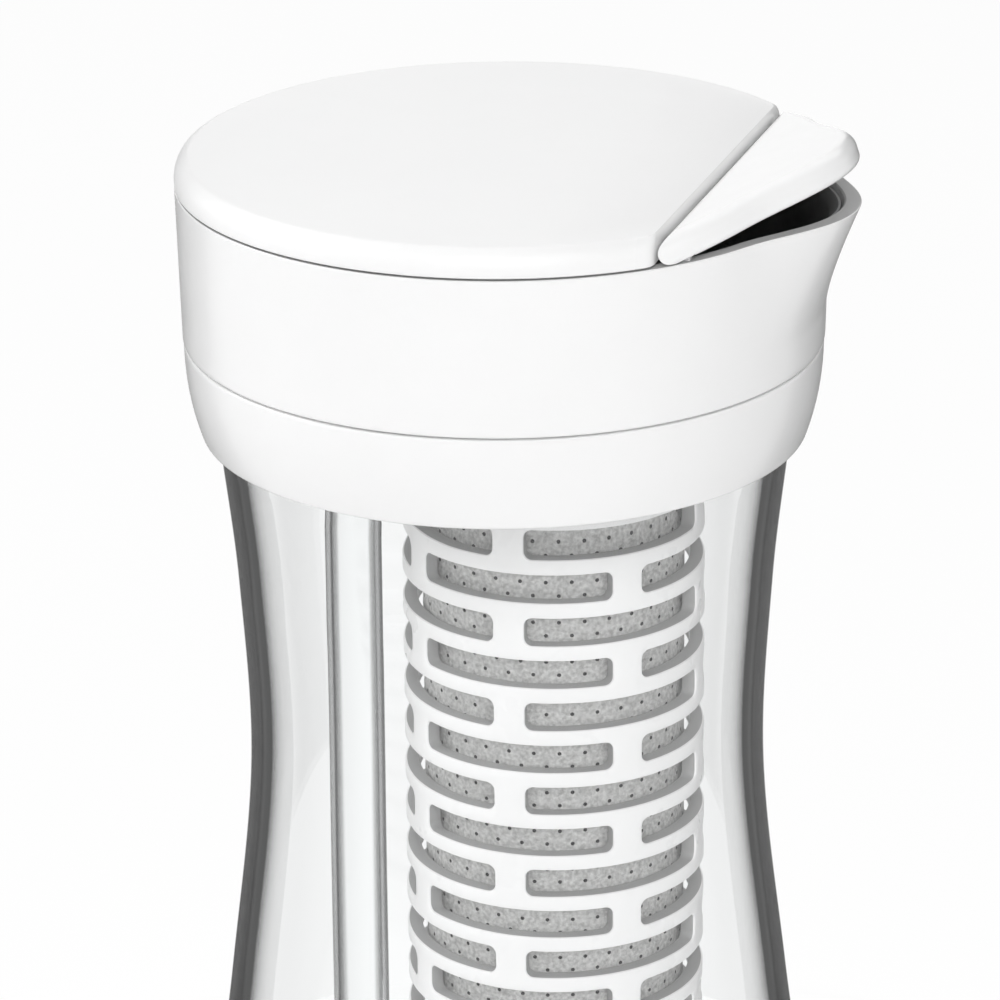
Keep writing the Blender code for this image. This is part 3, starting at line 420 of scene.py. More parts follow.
def place_piece(
    name: str,
    mesh: bpy.types.Mesh,
    finishes: Iterable[Finish],
    body: Body,
    node: str,
    place: Matrix | None = None,
) -> None:
    """Add a finished piece that stands for a node and rides on a body.

    Args:
        name: The piece's plain name.
        mesh: Its mesh, in its own place or in the one that place gives.
        finishes: Its finishes, by face index.
        body: The body that carries it.
        node: The node that it stands for.
        place: Where the mesh goes, if it isn't in place already.
    """
    if place is not None:
        mesh.transform(place)
    for finish in finishes:
        mesh.materials.append(finish.value.material())
    piece = bpy.data.objects.new(name, mesh)
    bpy.context.scene.collection.objects.link(piece)
    soften(mesh)
    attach(piece, body.value)
    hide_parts(node)
    LOG.info("%s: %d faces, stands for %s", name, len(mesh.polygons), node)


def dress_node(nodes: dict[str, bpy.types.Object], name: str, finish: Finish) -> None:
    """Give a carried-over node its finish and smooth shading.

    Args:
        nodes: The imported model's nodes, by name.
        name: The node's name.
        finish: Its finish.
    """
    mesh = nodes[name].data
    mesh.materials.clear()
    mesh.materials.append(finish.value.material())
    soften(mesh)
    LOG.info("%s keeps its shape and takes %s", name, finish.value.name)


def soften(mesh: bpy.types.Mesh) -> None:
    """Shade a mesh smooth, except along its sharp edges.

    Args:
        mesh: The mesh.
    """
    mesh.shade_smooth()
    mesh.set_sharp_from_angle(angle=SHARP_ANGLE)


class Shape:
    """A closed mesh in the making, put together from rings of points."""

    def __init__(self) -> None:
        """Start with nothing."""
        self.mesh = bmesh.new()

    def ring(self, spots: Iterable[Sequence[float]]) -> list[Vert]:
        """Add points."""
        return [self.mesh.verts.new(spot) for spot in spots]

    def face(self, corners: Iterable[Vert], index: int = 0) -> None:
        """Add a face with a material index. Corners may repeat."""
        self.mesh.faces.new(list(dict.fromkeys(corners))).material_index = index

    def skin(self, lower: Sequence[Vert], upper: Sequence[Vert], gaps: Sequence[bool] = ()) -> None:
        """Join two rings with faces.

        Args:
            lower: One ring, or a single point.
            upper: The other ring, or a single point.
            gaps: Whether each face is left out, if any is.
        """
        count = max(len(lower), len(upper))
        for step in range(count):
            after = (step + 1) % count
            if count == 1 or (gaps and gaps[step]):
                continue
            corners = [lower[step % len(lower)], lower[after % len(lower)]]
            self.face(corners + [upper[after % len(upper)], upper[step % len(upper)]])

    def skins(self, rings: Sequence[Sequence[Vert]]) -> None:
        """Join each ring to the next."""
        for lower, upper in zip(rings, rings[1:]):
            self.skin(lower, upper)

    def finished(self, name: str) -> bpy.types.Mesh:
        """Turn the faces outward and store the mesh.

        Args:
            name: The mesh's name.

        Returns:
            The mesh.
        """
        bmesh.ops.recalc_face_normals(self.mesh, faces=self.mesh.faces)
        mesh = bpy.data.meshes.new(name)
        self.mesh.to_mesh(mesh)
        self.mesh.free()
        return mesh


def arc(radius: float, start: float, end: float, steps: int, centre: Point = (0, 0)) -> list[Point]:
    """Give points along an arc.

    Args:
        radius: Its radius.
        start: The angle of its first point.
        end: The angle of its last point.
        steps: The number of steps between them.
        centre: Its centre.

    Returns:
        The points, one more than the steps.
    """
    turns = [start + (end - start) * step / steps for step in range(steps + 1)]
    return [(centre[0] + radius * math.cos(turn), centre[1] + radius * math.sin(turn)) for turn in turns]


def round_corners(points: Sequence[Point], radius: float, steps: int = 3) -> list[Point]:
    """Round each corner of a closed profile that has room for it.

    Args:
        points: The profile's corners as (radius, height).
        radius: The rounding's size, cut down where an edge is short.
        steps: Segments in each rounding.

    Returns:
        The profile with rounded corners. Corners on the axis stay as they are.
    """
    rounded: list[Point] = []
    for index, point in enumerate(points):
        corner = Vector(point)
        before = Vector(points[index - 1]) - corner
        after = Vector(points[(index + 1) % len(points)]) - corner
        reach = min(radius, before.length * 0.4, after.length * 0.4)
        if point[0] <= 0 or reach < 1e-6:
            rounded.append(point)
            continue
        start = corner + before.normalized() * reach
        end = corner + after.normalized() * reach
        for step in range(steps + 1):
            share = step / steps
            spot = start.lerp(corner, share).lerp(corner.lerp(end, share), share)
            rounded.append((spot.x, spot.y))
    return rounded


def turned_mesh(name: str, profile: Sequence[Point], segments: int, centre_x: float) -> bpy.types.Mesh:
    """Turn a closed profile about a vertical axis.

    Args:
        name: The mesh's name.
        profile: Its (radius, height) points. The first and last may lie on the axis.
        segments: Steps round the axis.
        centre_x: Where the axis stands.

    Returns:
        A closed mesh.
    """
    shape = Shape()
    rings = []
    for radius, height in profile:
        turns = [2 * math.pi * step / segments for step in range(segments if radius > 0 else 1)]
        circle = [(centre_x + radius * math.cos(turn), radius * math.sin(turn), height) for turn in turns]
        rings.append(shape.ring(circle))
    shape.skins(rings + rings[:1])
    return shape.finished(name)


def loft_mesh(
    name: str, sections: Sequence[tuple[float, Sequence[Point]]], capped: bool, shift_x: float = AXIS_X
) -> bpy.types.Mesh:
    """Skin a stack of like outlines.

    Args:
        name: The mesh's name.
        sections: Pairs of height and (x, y) outline.
        capped: Whether it is closed at its ends, or closes on itself as a ring's wall does.
        shift_x: How far it stands from the frame's origin.

    Returns:
        A closed mesh.
    """
    shape = Shape()
    rings = [shape.ring((x + shift_x, y, height) for x, y in outline) for height, outline in sections]
    if capped:
        shape.skins(rings)
        shape.face(rings[0][::-1])
        shape.face(rings[-1])
    else:
        shape.skins(rings + rings[:1])
    return shape.finished(name)


def combined_mesh(mesh: bpy.types.Mesh, others: Sequence[bpy.types.Mesh], operation: str) -> bpy.types.Mesh:
    """Join other meshes to a mesh, or cut them out of it.

    Args:
        mesh: The mesh to work on.
        others: The meshes to join or cut out, in the same place.
        operation: UNION or DIFFERENCE.

    Returns:
        The result as a new mesh.
    """
    holder = bpy.data.objects.new("work", mesh)
    helpers = [bpy.data.objects.new("work helper", other) for other in others]
    for helper in [holder, *helpers]:
        bpy.context.scene.collection.objects.link(helper)
    for helper in helpers:
        modifier = holder.modifiers.new("combine", "BOOLEAN")
        modifier.operation = operation
        modifier.solver = "EXACT"
        modifier.object = helper
    graph = bpy.context.evaluated_depsgraph_get()
    result = bpy.data.meshes.new_from_object(holder.evaluated_get(graph))
    for helper in [holder, *helpers]:
        bpy.data.objects.remove(helper)
    return result


def bore_mesh(radius: float, low: float, high: float, centre_x: float) -> bpy.types.Mesh:
    """Make an upright round rod, to cut a bore with.

    Args:
        radius: Its radius.
        low: The height of its foot.
        high: The height of its top.
        centre_x: Where its axis stands.

    Returns:
        A closed mesh.
    """
    return turned_mesh("bore", [(0, high), (radius, high), (radius, low), (0, low)], BORE_SEGMENTS, centre_x)


def cross_rod_mesh(radius: float, half_length: float) -> bpy.types.Mesh:
    """Make a round rod along Y through the origin.

    Args:
        radius: Its radius.
        half_length: How far it reaches each way.

    Returns:
        A closed mesh.
    """
    profile = [(0, -half_length), (radius, -half_length), (radius, half_length), (0, half_length)]
    mesh = turned_mesh("cross rod", profile, ROD_SEGMENTS, 0)
    mesh.transform(Matrix.Rotation(math.pi / 2, 4, "X"))
    return mesh


def smooth_curve(stations: Sequence[Point], count: int) -> list[Point]:
    """Draw a smooth curve through stations.

    Args:
        stations: (radius, height) points whose heights all rise or all fall.
        count: How many points to give.

    Returns:
        Points on the curve, evenly spaced in height.
    """
    radii = [radius for radius, _ in stations]
    heights = [height for _, height in stations]
    slopes = []
    for index in range(len(stations)):
        before, after = max(index - 1, 0), min(index + 1, len(stations) - 1)
        slopes.append((radii[after] - radii[before]) / (heights[after] - heights[before]))
    points = []
    for step in range(count):
        height = heights[0] + (heights[-1] - heights[0]) * step / (count - 1)
        index = 0
        while index < len(stations) - 2 and abs(height - heights[0]) > abs(heights[index + 1] - heights[0]):
            index += 1
        span = heights[index + 1] - heights[index]
        share = (height - heights[index]) / span
        radius = radii[index] * (1 + 2 * share) * (1 - share) ** 2
        radius += radii[index + 1] * share**2 * (3 - 2 * share)
        radius += slopes[index] * share * (1 - share) ** 2 * span
        radius += slopes[index + 1] * share**2 * (share - 1) * span
        points.append((radius, height))
    return points


@dataclass
class Carafe:
    """The blown glass carafe, the white collar round its neck and the band that grips it."""

    seam_height: float = 0.238
    rim_drop: float = 0.0025
    neck_radius: float = 0.0453
    wall: float = 0.0034
    floor_top: float = 0.0082
    push_up_radius: float = 0.031
    push_up_rise: float = 0.002
    foot_radius: float = 0.0445
    foot_land: float = 0.004
    foot_edge: Point = (0.0008, 0.0003)
    heel_radius: float = 0.0508
    heel_height: float = 0.009
    heel_turn: Point = (0.04985, 0.0045)
    collar_depth: float = 0.0151
    collar_top_radius: float = 0.05035
    collar_edge_radius: float = 0.0479
    collar_taper_power: float = 2.2
    collar_rounding: float = 0.0005
    hem_height: float = 0.0026
    pocket_depth: float = 0.0016
    lip_reach: float = 0.0021
    band_thickness: float = 0.001
    band_clearance: float = 0.0023
    band_rounding: float = 0.0003
    band_segments: int = 96
    segments: int = 192

    def stations(self) -> list[Point]:
        """Give the glass's outer curve.

        Returns:
            Its (radius, height) stations from the neck down to the heel.
        """
        return [
            (self.neck_radius, 0.2215),
            (0.04287, 0.1980),
            (0.04167, 0.1655),
            (0.04566, 0.1280),
            (0.0506, 0.0900),
            (0.0540, 0.0420),
            (self.heel_radius, self.heel_height),
        ]

    def glass_profile(self) -> list[Point]:
        """Draw the glass's section.

        Returns:
            Points from the inner floor, over the rim, to the foot.
        """
        outer_stations = self.stations()
        inner_stations = [(radius - self.wall, height) for radius, height in outer_stations[:-1]]
        inner_stations.append((self.heel_radius - self.wall, self.heel_height + self.wall))
        half = self.wall / 2
        rim_centre = (self.neck_radius - half, self.seam_height - self.rim_drop - half)
        out, up = self.foot_edge
        points = [(0, self.floor_top), (self.push_up_radius, self.floor_top)]
        points.append((self.foot_radius - self.wall, self.floor_top + self.foot_land / 4))
        points += smooth_curve(inner_stations, 70)[::-1]
        points += arc(half, math.pi, 0, 12, rim_centre)
        points += smooth_curve(outer_stations, 90)
        points.append(self.heel_turn)
        low_turn = (self.heel_radius + self.foot_radius) / 2 + self.foot_land / 4
        points.append((low_turn, self.heel_turn[1] / 2))
        points.append((self.foot_radius + out, up))
        points += [(self.foot_radius, 0), (self.foot_radius - self.foot_land, 0)]
        points += [(self.push_up_radius, self.push_up_rise), (0, self.push_up_rise)]
        return points

    def collar_profile(self) -> list[Point]:
        """Draw the section of the tapered collar, which hooks over the glass rim.

        Returns:
            Points down its outside and up its inside.
        """
        foot_z = self.seam_height - self.collar_depth
        points = []
        for step in range(13):
            share = step / 12
            narrowing = (self.collar_top_radius - self.collar_edge_radius) * share**self.collar_taper_power
            points.append((self.collar_top_radius - narrowing, self.seam_height - self.collar_depth * share))
        mouth, pocket = self.neck_radius + FIT_GAP, self.neck_radius + self.pocket_depth
        lip, lip_z = self.neck_radius - self.lip_reach, self.seam_height - self.rim_drop + FIT_GAP
        points += [(mouth, foot_z), (mouth, foot_z + self.hem_height), (pocket, foot_z + self.hem_height)]
        points += [(pocket, lip_z), (lip, lip_z), (lip, self.seam_height)]
        return points

    def dress(self) -> None:
        """Build and place the carafe's three pieces."""
        glass = turned_mesh("glass carafe", self.glass_profile(), self.segments, AXIS_X)
        # Inward faces take the glass without painted edge shade. Outward faces take the glass with it.
        for face in glass.polygons:
            if face.normal.dot(Vector((face.center.x - AXIS_X, face.center.y, 0))) < 0:
                face.material_index = 1
        finishes = [Finish.GLASS, Finish.INNER_GLASS]
        place_piece("blown_glass", glass, finishes, Body.CARAFE, "glass_carafe")
        profile = round_corners(self.collar_profile(), self.collar_rounding)
        collar = turned_mesh("neck collar", profile, self.segments, AXIS_X)
        place_piece("collar_ring", collar, [Finish.WHITE], Body.CARAFE, "neck_collar")
        inner = self.neck_radius + FIT_GAP
        outer = inner + self.band_thickness
        low = self.seam_height - self.collar_depth + self.hem_height + FIT_GAP
        high = self.seam_height - self.rim_drop - self.band_clearance
        corners = [(outer, high), (outer, low), (inner, low), (inner, high)]
        profile = round_corners(corners, self.band_rounding)
        band = turned_mesh("grip band", profile, self.band_segments, AXIS_X)
        place_piece("grip_band", band, [Finish.PALE_SILICONE], Body.CARAFE, "collar_band")


@dataclass
class Seal:
    """The silicone seal in the plug's groove."""

    inner: float = 0.0392
    face: float = 0.0403
    outer: float = 0.0413
    top: float = 0.2317
    height: float = 0.0032
    rounding: float = 0.0004
    segments: int = 128

    def dress(self) -> None:
        """Build and place the seal."""
        low = self.top - self.height
        middle = (self.top + low) / 2
        profile = [(self.inner, self.top), (self.face, self.top), (self.outer, middle)]
        profile += [(self.face, low), (self.inner, low)]
        mesh = turned_mesh("lid seal", round_corners(profile, self.rounding), self.segments, AXIS_X)
        place_piece("seal_ring", mesh, [Finish.PALE_SILICONE], Body.SEAL, "lid_seal")


@dataclass
class SpoutForm:
    """The lid's plan shape at each level: a round wall that bulges into the spout."""

    base_z: float = 0.2383
    height: float = 0.0248
    base_radius: float = 0.0505
    top_radius: float = 0.0511
    half_angle: float = math.radians(27)
    start_share: float = 0.24
    flare_power: float = 1.3
    spout_points: int = 72
    round_points: int = 132

    def radius(self, share: float) -> float:
        """Give the wall's radius at a share of the height."""
        return self.base_radius + (self.top_radius - self.base_radius) * share

    def flare(self, share: float, reach: float) -> float:
        """Give the spout's reach at a share of the height."""
        rise = max(share - self.start_share, 0) / (1 - self.start_share)
        return reach * rise**self.flare_power

    def bulge(self, azimuth: float) -> float:
        """Give the spout's share of its reach at an azimuth."""
        return math.cos(min(abs(azimuth) / self.half_angle, 1) * math.pi / 2) ** 2

    def outline(self, radius: float, reach: float) -> list[Point]:
        """Draw the plan shape.

        Args:
            radius: The round wall's radius.
            reach: How far the spout's tip stands out of it.

        Returns:
            The (x, y) outline.
        """
        angles = [self.half_angle * (2 * step / self.spout_points - 1) for step in range(self.spout_points)]
        rest = 2 * math.pi - 2 * self.half_angle
        angles += [self.half_angle + rest * step / self.round_points for step in range(self.round_points)]
        points = []
        for azimuth in angles:
            distance = radius + reach * self.bulge(azimuth)
            points.append((distance * math.cos(azimuth), distance * math.sin(azimuth)))
        return points

    def section(self, share: float, inset: float, reach: float) -> tuple[float, list[Point]]:
        """Give the height and outline at a share of the height, moved in by an inset."""
        outline = self.outline(self.radius(share) - inset, self.flare(share, reach))
        return self.base_z + self.height * share, outline


@dataclass(frozen=True)
class Hinge:
    """The flap's hinge line and ears, which the lid and the flap share."""

    x: float = 0.0378035
    z: float = 0.2656
    ear_y: float = 0.0308860
    pin_bore: float = 0.0009

    def place(self) -> Matrix:
        """Give the move from the hinge line's middle to its place."""
        return Matrix.Translation((self.x + AXIS_X, 0, self.z))


@dataclass
class Lid:
    """The pouring lid: housing with spout, cup, plate, pin, plug, air tube and grommet."""

    form: SpoutForm
    hinge: Hinge
    wall: float = 0.0024
    spout_reach: float = 0.0059
    inner_reach: float = 0.0056
    edge: float = 0.0005
    rim_roll: Point = (0.00003, 0.00022)
    rim_inner_roll: float = 0.0002
    rim_margin: float = 0.00002
    grey_depth: float = 0.0022
    ear_radius: float = 0.0013
    ear_thickness: float = 0.0014
    ear_foot_depth: float = 0.0003
    ear_flat: float = 0.8
    ear_shrink: float = 0.9
    cup_wall: float = 0.0012
    cup_floor: float = 0.0018
    cup_base_z: float = 0.2408
    cup_drop: float = 0.0008
    cup_slope: float = 0.0012
    cup_floor_rise: float = 0.02
    cup_floor_roll: float = 0.0002
    cup_floor_rounding: float = 0.0009
    cup_bore_low: float = 0.2395
    cup_bore_high: float = 0.2440
    plate_base_z: float = 0.2634
    plate_thickness: float = 0.0044
    plate_chord_x: float = 0.0350035
    plate_corner: float = 0.0013
    plate_roll_width: float = 0.0024
    plate_roll_height: float = 0.0036
    chord_roll: float = 0.0005
    chord_turn: float = 0.25
    chord_highlight_strip: float = 0.002
    underside_rise: float = 0.0002
    underside_roll: Point = (0.0003, 0.0002)
    tube_offset: float = 0.0250
    tube_radius: float = 0.0047
    tube_bore: float = 0.0036
    tube_shift: float = 0.0012
    tube_low: float = 0.020
    tube_high: float = 0.256
    tube_rounding: float = 0.0003
    tube_segments: int = 96
    grommet_radius: float = 0.00725
    grommet_flange: float = 0.0023
    grommet_top: float = 0.2385
    grommet_neck: float = 0.2257
    grommet_base: float = 0.2245
    grommet_margin: float = 0.0015
    grommet_rounding: float = 0.0004
    grommet_segments: int = 64
    filter_bore: float = 0.0110

    def housing_mesh(self) -> bpy.types.Mesh:
        """Loft the housing wall.

        Returns:
            A closed mesh, with material index 1 on the flat of its rim and just inside it.
        """
        form = self.form
        edge = self.edge / form.height
        sections = []
        for step in range(4):
            turn = step / 3 * math.pi / 2
            inset = self.edge * (1 - math.sin(turn))
            sections.append(form.section(edge * (1 - math.cos(turn)), inset, self.spout_reach))
        for step in range(1, 30):
            sections.append(form.section(edge + (1 - 1.6 * edge) * step / 30, 0, self.spout_reach))
        for share, roll in zip((1 - 0.3 * edge, 1), self.rim_roll):
            sections.append(form.section(share, roll, self.spout_reach))
        sections.append(form.section(1, self.wall - self.rim_inner_roll, self.inner_reach))
        for step in range(13):
            share = (1 - 0.4 * edge) * (1 - step / 12)
            sections.append(form.section(share, self.wall, self.inner_reach))
        mesh = loft_mesh("lid housing", sections, capped=False)
        rim_z = form.base_z + form.height
        for face in mesh.polygons:
            low = min(mesh.vertices[vertex].co.z for vertex in face.vertices)
            inward = Vector((face.center.x - AXIS_X, face.center.y, 0)).dot(face.normal) < 0
            if low > rim_z - (self.grey_depth if inward else self.rim_margin):
                face.material_index = 1
        return mesh

    def ear_mesh(self, side: int) -> bpy.types.Mesh:
        """Make one hinge ear: a post with a round top about the pin.

        Args:
            side: Which one, as the sign of its y.

        Returns:
            A closed mesh in its place.
        """
        foot = self.form.base_z + self.form.height - self.ear_foot_depth - self.hinge.z
        outline = [(-self.ear_radius, foot), (self.ear_radius, foot)]
        outline += arc(self.ear_radius, 0, math.pi, 16)
        half, flat = self.ear_thickness / 2, self.ear_thickness / 2 * self.ear_flat
        sections = []
        for y, shrink in ((-half, self.ear_shrink), (-flat, 1), (flat, 1), (half, self.ear_shrink)):
            sections.append((y, [(x * shrink, z * shrink) for x, z in outline]))
        mesh = loft_mesh("hinge ear", sections, capped=True, shift_x=0)
        place = self.hinge.place() @ Matrix.Translation((0, side * self.hinge.ear_y, 0))
        mesh.transform(place @ Matrix.Rotation(math.pi / 2, 4, "X"))
        return mesh

    def cup_mesh(self) -> bpy.types.Mesh:
        """Loft the cup, whose dark grey finish is painted shade.

        Returns:
            A closed mesh with a sloping lip and a rounded floor corner.
        """
        form = self.form
        inset = self.wall + FIT_GAP
        inner = inset + self.cup_wall
        base = (self.cup_base_z - form.base_z) / form.height
        floor = base + self.cup_floor / form.height
        top = 1 - self.cup_drop / form.height
        inner_top = top - self.cup_slope / form.height
        levels = [(base + (top - base) * step / 20, inset) for step in range(21)]
        levels.append((top, inset + self.cup_wall / 3))
        levels += [(floor + (inner_top - floor) * step / 20, inner) for step in range(20, 0, -1)]
        levels.append((floor + self.cup_floor_rise, inner + self.cup_floor_roll))
        levels.append((floor, inner + self.cup_floor_rounding))
        sections = [form.section(share, depth, self.inner_reach) for share, depth in levels]
        return loft_mesh("pour cup", sections, capped=True)

    def plate_outline(self, roll: float, chord_roll: float) -> list[Point]:
        """Draw the plate's outline, moved in from its round edge and from its chord.

        Args:
            roll: How far the round edge is moved in.
            chord_roll: How far the chord is moved in.

        Returns:
            The (x, y) outline, with both corners rounded.
        """
        radius = self.form.top_radius - roll
        chord = self.plate_chord_x - chord_roll
        half = math.acos(chord / radius)
        corner = Vector((chord, radius * math.sin(half)))
        start = half + self.plate_corner / radius
        points = arc(radius, start, 2 * math.pi - start, 160)
        arc_end = Vector((radius * math.cos(start), radius * math.sin(start)))
        chord_end = Vector((chord, corner.y - self.plate_corner))
        rounding = []
        for step in range(1, 8):
            share = step / 8
            rounding.append(arc_end.lerp(corner, share).lerp(corner.lerp(chord_end, share), share))
        points += [(spot.x, -spot.y) for spot in rounding]
        points += [(chord, chord_end.y * (step / 12 - 1)) for step in range(25)]
        points += [(spot.x, spot.y) for spot in reversed(rounding)]
        return points

    def plate_mesh(self) -> bpy.types.Mesh:
        """Loft the top plate, which rolls over at its round edge and along its chord.

        Returns:
            A closed mesh, with material index 1 along the chord: the flap's glossier white, whose slightly
            lighter colour is a painted highlight on the bevel.
        """
        low = self.plate_base_z
        top = low + self.plate_thickness
        sections = [(low, self.plate_outline(*self.underside_roll))]
        sections.append((low + self.underside_rise, self.plate_outline(0.00005, 0)))
        for step in range(13):
            turn = step / 12 * math.pi / 2
            roll = self.plate_roll_width * (1 - math.cos(turn))
            chord_roll = self.chord_roll * (1 - math.cos(turn))
            height = top - self.plate_roll_height * (1 - math.sin(turn))
            sections.append((height, self.plate_outline(roll, chord_roll)))
        mesh = loft_mesh("top plate", sections, capped=True)
        # The chord's bevel takes the flap's white: its real gloss, plus a slightly lighter colour that is
        # painted highlight.
        strip_x = self.plate_chord_x + AXIS_X - self.chord_highlight_strip
        for face in mesh.polygons:
            if face.normal.x > self.chord_turn and face.center.x > strip_x:
                face.material_index = 1
        return mesh

    def dress_housing(self) -> None:
        """Build and place the housing, with its ears bored for the pin."""
        ears = [self.ear_mesh(side) for side in (-1, 1)]
        housing = combined_mesh(self.housing_mesh(), ears, "UNION")
        bore = cross_rod_mesh(self.hinge.pin_bore, self.hinge.ear_y + self.ear_thickness)
        bore.transform(self.hinge.place())
        housing = combined_mesh(housing, [bore], "DIFFERENCE")
        finishes = [Finish.WHITE, Finish.RIM]
        place_piece("spout_housing", housing, finishes, Body.LID, "lid_housing")

    def dress_cup(self) -> None:
        """Build and place the cup, with its two bores through the floor."""
        holes = []
        for x, radius in ((HOLDER_X, self.filter_bore), (self.tube_x(), self.tube_radius + FIT_GAP)):
            holes.append(bore_mesh(radius, self.cup_bore_low, self.cup_bore_high, x))
        cup = combined_mesh(self.cup_mesh(), holes, "DIFFERENCE")
        # The cup takes the dark grey of painted shade.
        place_piece("charcoal_cup", cup, [Finish.CUP_PAINTED_SHADE], Body.LID, "pour_cup")

    def tube_x(self) -> float:
        """Give where the air tube stands, as the photo shows it."""
        return AXIS_X - self.tube_offset - self.tube_shift

    def dress_tube(self) -> None:
        """Build and place the clear air tube and its grommet."""
        x, outer, bore = self.tube_x(), self.tube_radius, self.tube_bore
        low, high = self.tube_low, self.tube_high
        walls = round_corners([(outer, high), (outer, low), (bore, low), (bore, high)], self.tube_rounding)
        tube = turned_mesh("air tube", walls, self.tube_segments, x)
        place_piece("air_pipe", tube, [Finish.CLEAR_TUBE], Body.LID, "air_tube")
        rim, flange = self.grommet_radius, self.grommet_radius + self.grommet_flange
        top, neck, base = self.grommet_top, self.grommet_neck, self.grommet_base
        points = [(0, top), (rim, top), (rim, neck), (flange, neck), (flange, base), (0, base)]
        profile = round_corners(points, self.grommet_rounding)
        body = turned_mesh("grommet", profile, self.grommet_segments, AXIS_X - self.tube_offset)
        margin = self.grommet_margin
        hole = bore_mesh(outer + FIT_GAP / 3, base - margin, top + margin, x)
        mesh = combined_mesh(body, [hole], "DIFFERENCE")
        place_piece("pipe_grommet", mesh, [Finish.PALE_SILICONE], Body.LID, "tube_grommet")

    def dress(self, nodes: dict[str, bpy.types.Object]) -> None:
        """Build and place the lid's pieces.

        Args:
            nodes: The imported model's nodes, by name.
        """
        self.dress_housing()
        self.dress_cup()
        finishes = [Finish.PLATE, Finish.FLAP]
        place_piece("lid_plate", self.plate_mesh(), finishes, Body.LID, "top_plate")
        self.dress_tube()
        dress_node(nodes, "lid_plug", Finish.WHITE)
        dress_node(nodes, "hinge_pin", Finish.STEEL)


@dataclass
class Flap:
    """The spout flap: a soft-edged slab that grows out of its hinge barrel."""

    form: SpoutForm
    hinge: Hinge
    open_angle: float = math.radians(18.6)
    half_thickness: float = 0.0022
    rim_inset: float = 0.0001
    top_roll: float = 0.0021
    low_roll: float = 0.0010
    spout_reach: float = 0.0060
    ear_slot_radius: float = 0.0016
    ear_slot_reach: float = 0.003
    ear_slot_half_width: float = 0.0010
    pin_reach: float = 0.0322

    def roll(self, height: float) -> float:
        """Give how far the rim's edge is rolled in.

        Args:
            height: The height above the slab's middle plane.

        Returns:
            The distance.
        """
        size = self.top_roll if height > 0 else self.low_roll
        share = max(abs(height) - self.half_thickness + size, 0) / size
        return size * (1 - math.sqrt(max(1 - share**2, 0)))

    def outline(self, height: float) -> list[Point]:
        """Draw the flap's outline, seen from above.

        Args:
            height: The height above the slab's middle plane.

        Returns:
            The (x, y) outline about the hinge line: the rim, then the barrel's back.
        """
        back = -math.sqrt(max(self.half_thickness**2 - height**2, 0))
        radius = self.form.top_radius - self.rim_inset - self.roll(height)
        end = math.acos((self.hinge.x + back) / radius)
        points = []
        for step in range(141):
            azimuth = end * (step / 70 - 1)
            distance = radius + self.spout_reach * self.form.bulge(azimuth)
            points.append((distance * math.cos(azimuth) - self.hinge.x, distance * math.sin(azimuth)))
        points += [(back, radius * math.sin(end) * (1 - step / 18)) for step in range(1, 36)]
        return points

    def ear_slot(self, side: int) -> bpy.types.Mesh:
        """Make the slot that lets the barrel swing round a hinge ear.

        Args:
            side: Which one, as the sign of its y.

        Returns:
            A closed mesh to cut with.
        """
        reach, radius, half = self.ear_slot_reach, self.ear_slot_radius, self.ear_slot_half_width
        outline = [(-reach, -reach), (radius, -reach), *arc(radius, 0, math.pi / 2, 12), (-reach, radius)]
        mesh = loft_mesh("ear slot", [(-half, outline), (half, outline)], capped=True, shift_x=0)
        place = Matrix.Translation((0, side * self.hinge.ear_y, 0))
        mesh.transform(place @ Matrix.Rotation(math.pi / 2, 4, "X"))
        return mesh

    def dress(self) -> None:
        """Build and place the flap, open as far as in the photo."""
        heights = [self.half_thickness * math.sin(math.pi * (step / 36 - 0.5)) for step in range(37)]
        sections = [(height, self.outline(height)) for height in heights]
        slab = loft_mesh("spout flap", sections, capped=True, shift_x=0)
        bore = cross_rod_mesh(self.hinge.pin_bore, self.pin_reach)
        mesh = combined_mesh(slab, [self.ear_slot(-1), self.ear_slot(1), bore], "DIFFERENCE")
        place = self.hinge.place() @ Matrix.Rotation(-self.open_angle, 4, "Y")
        place_piece("flap_cover", mesh, [Finish.FLAP], Body.FLAP, "spout_flap", place)


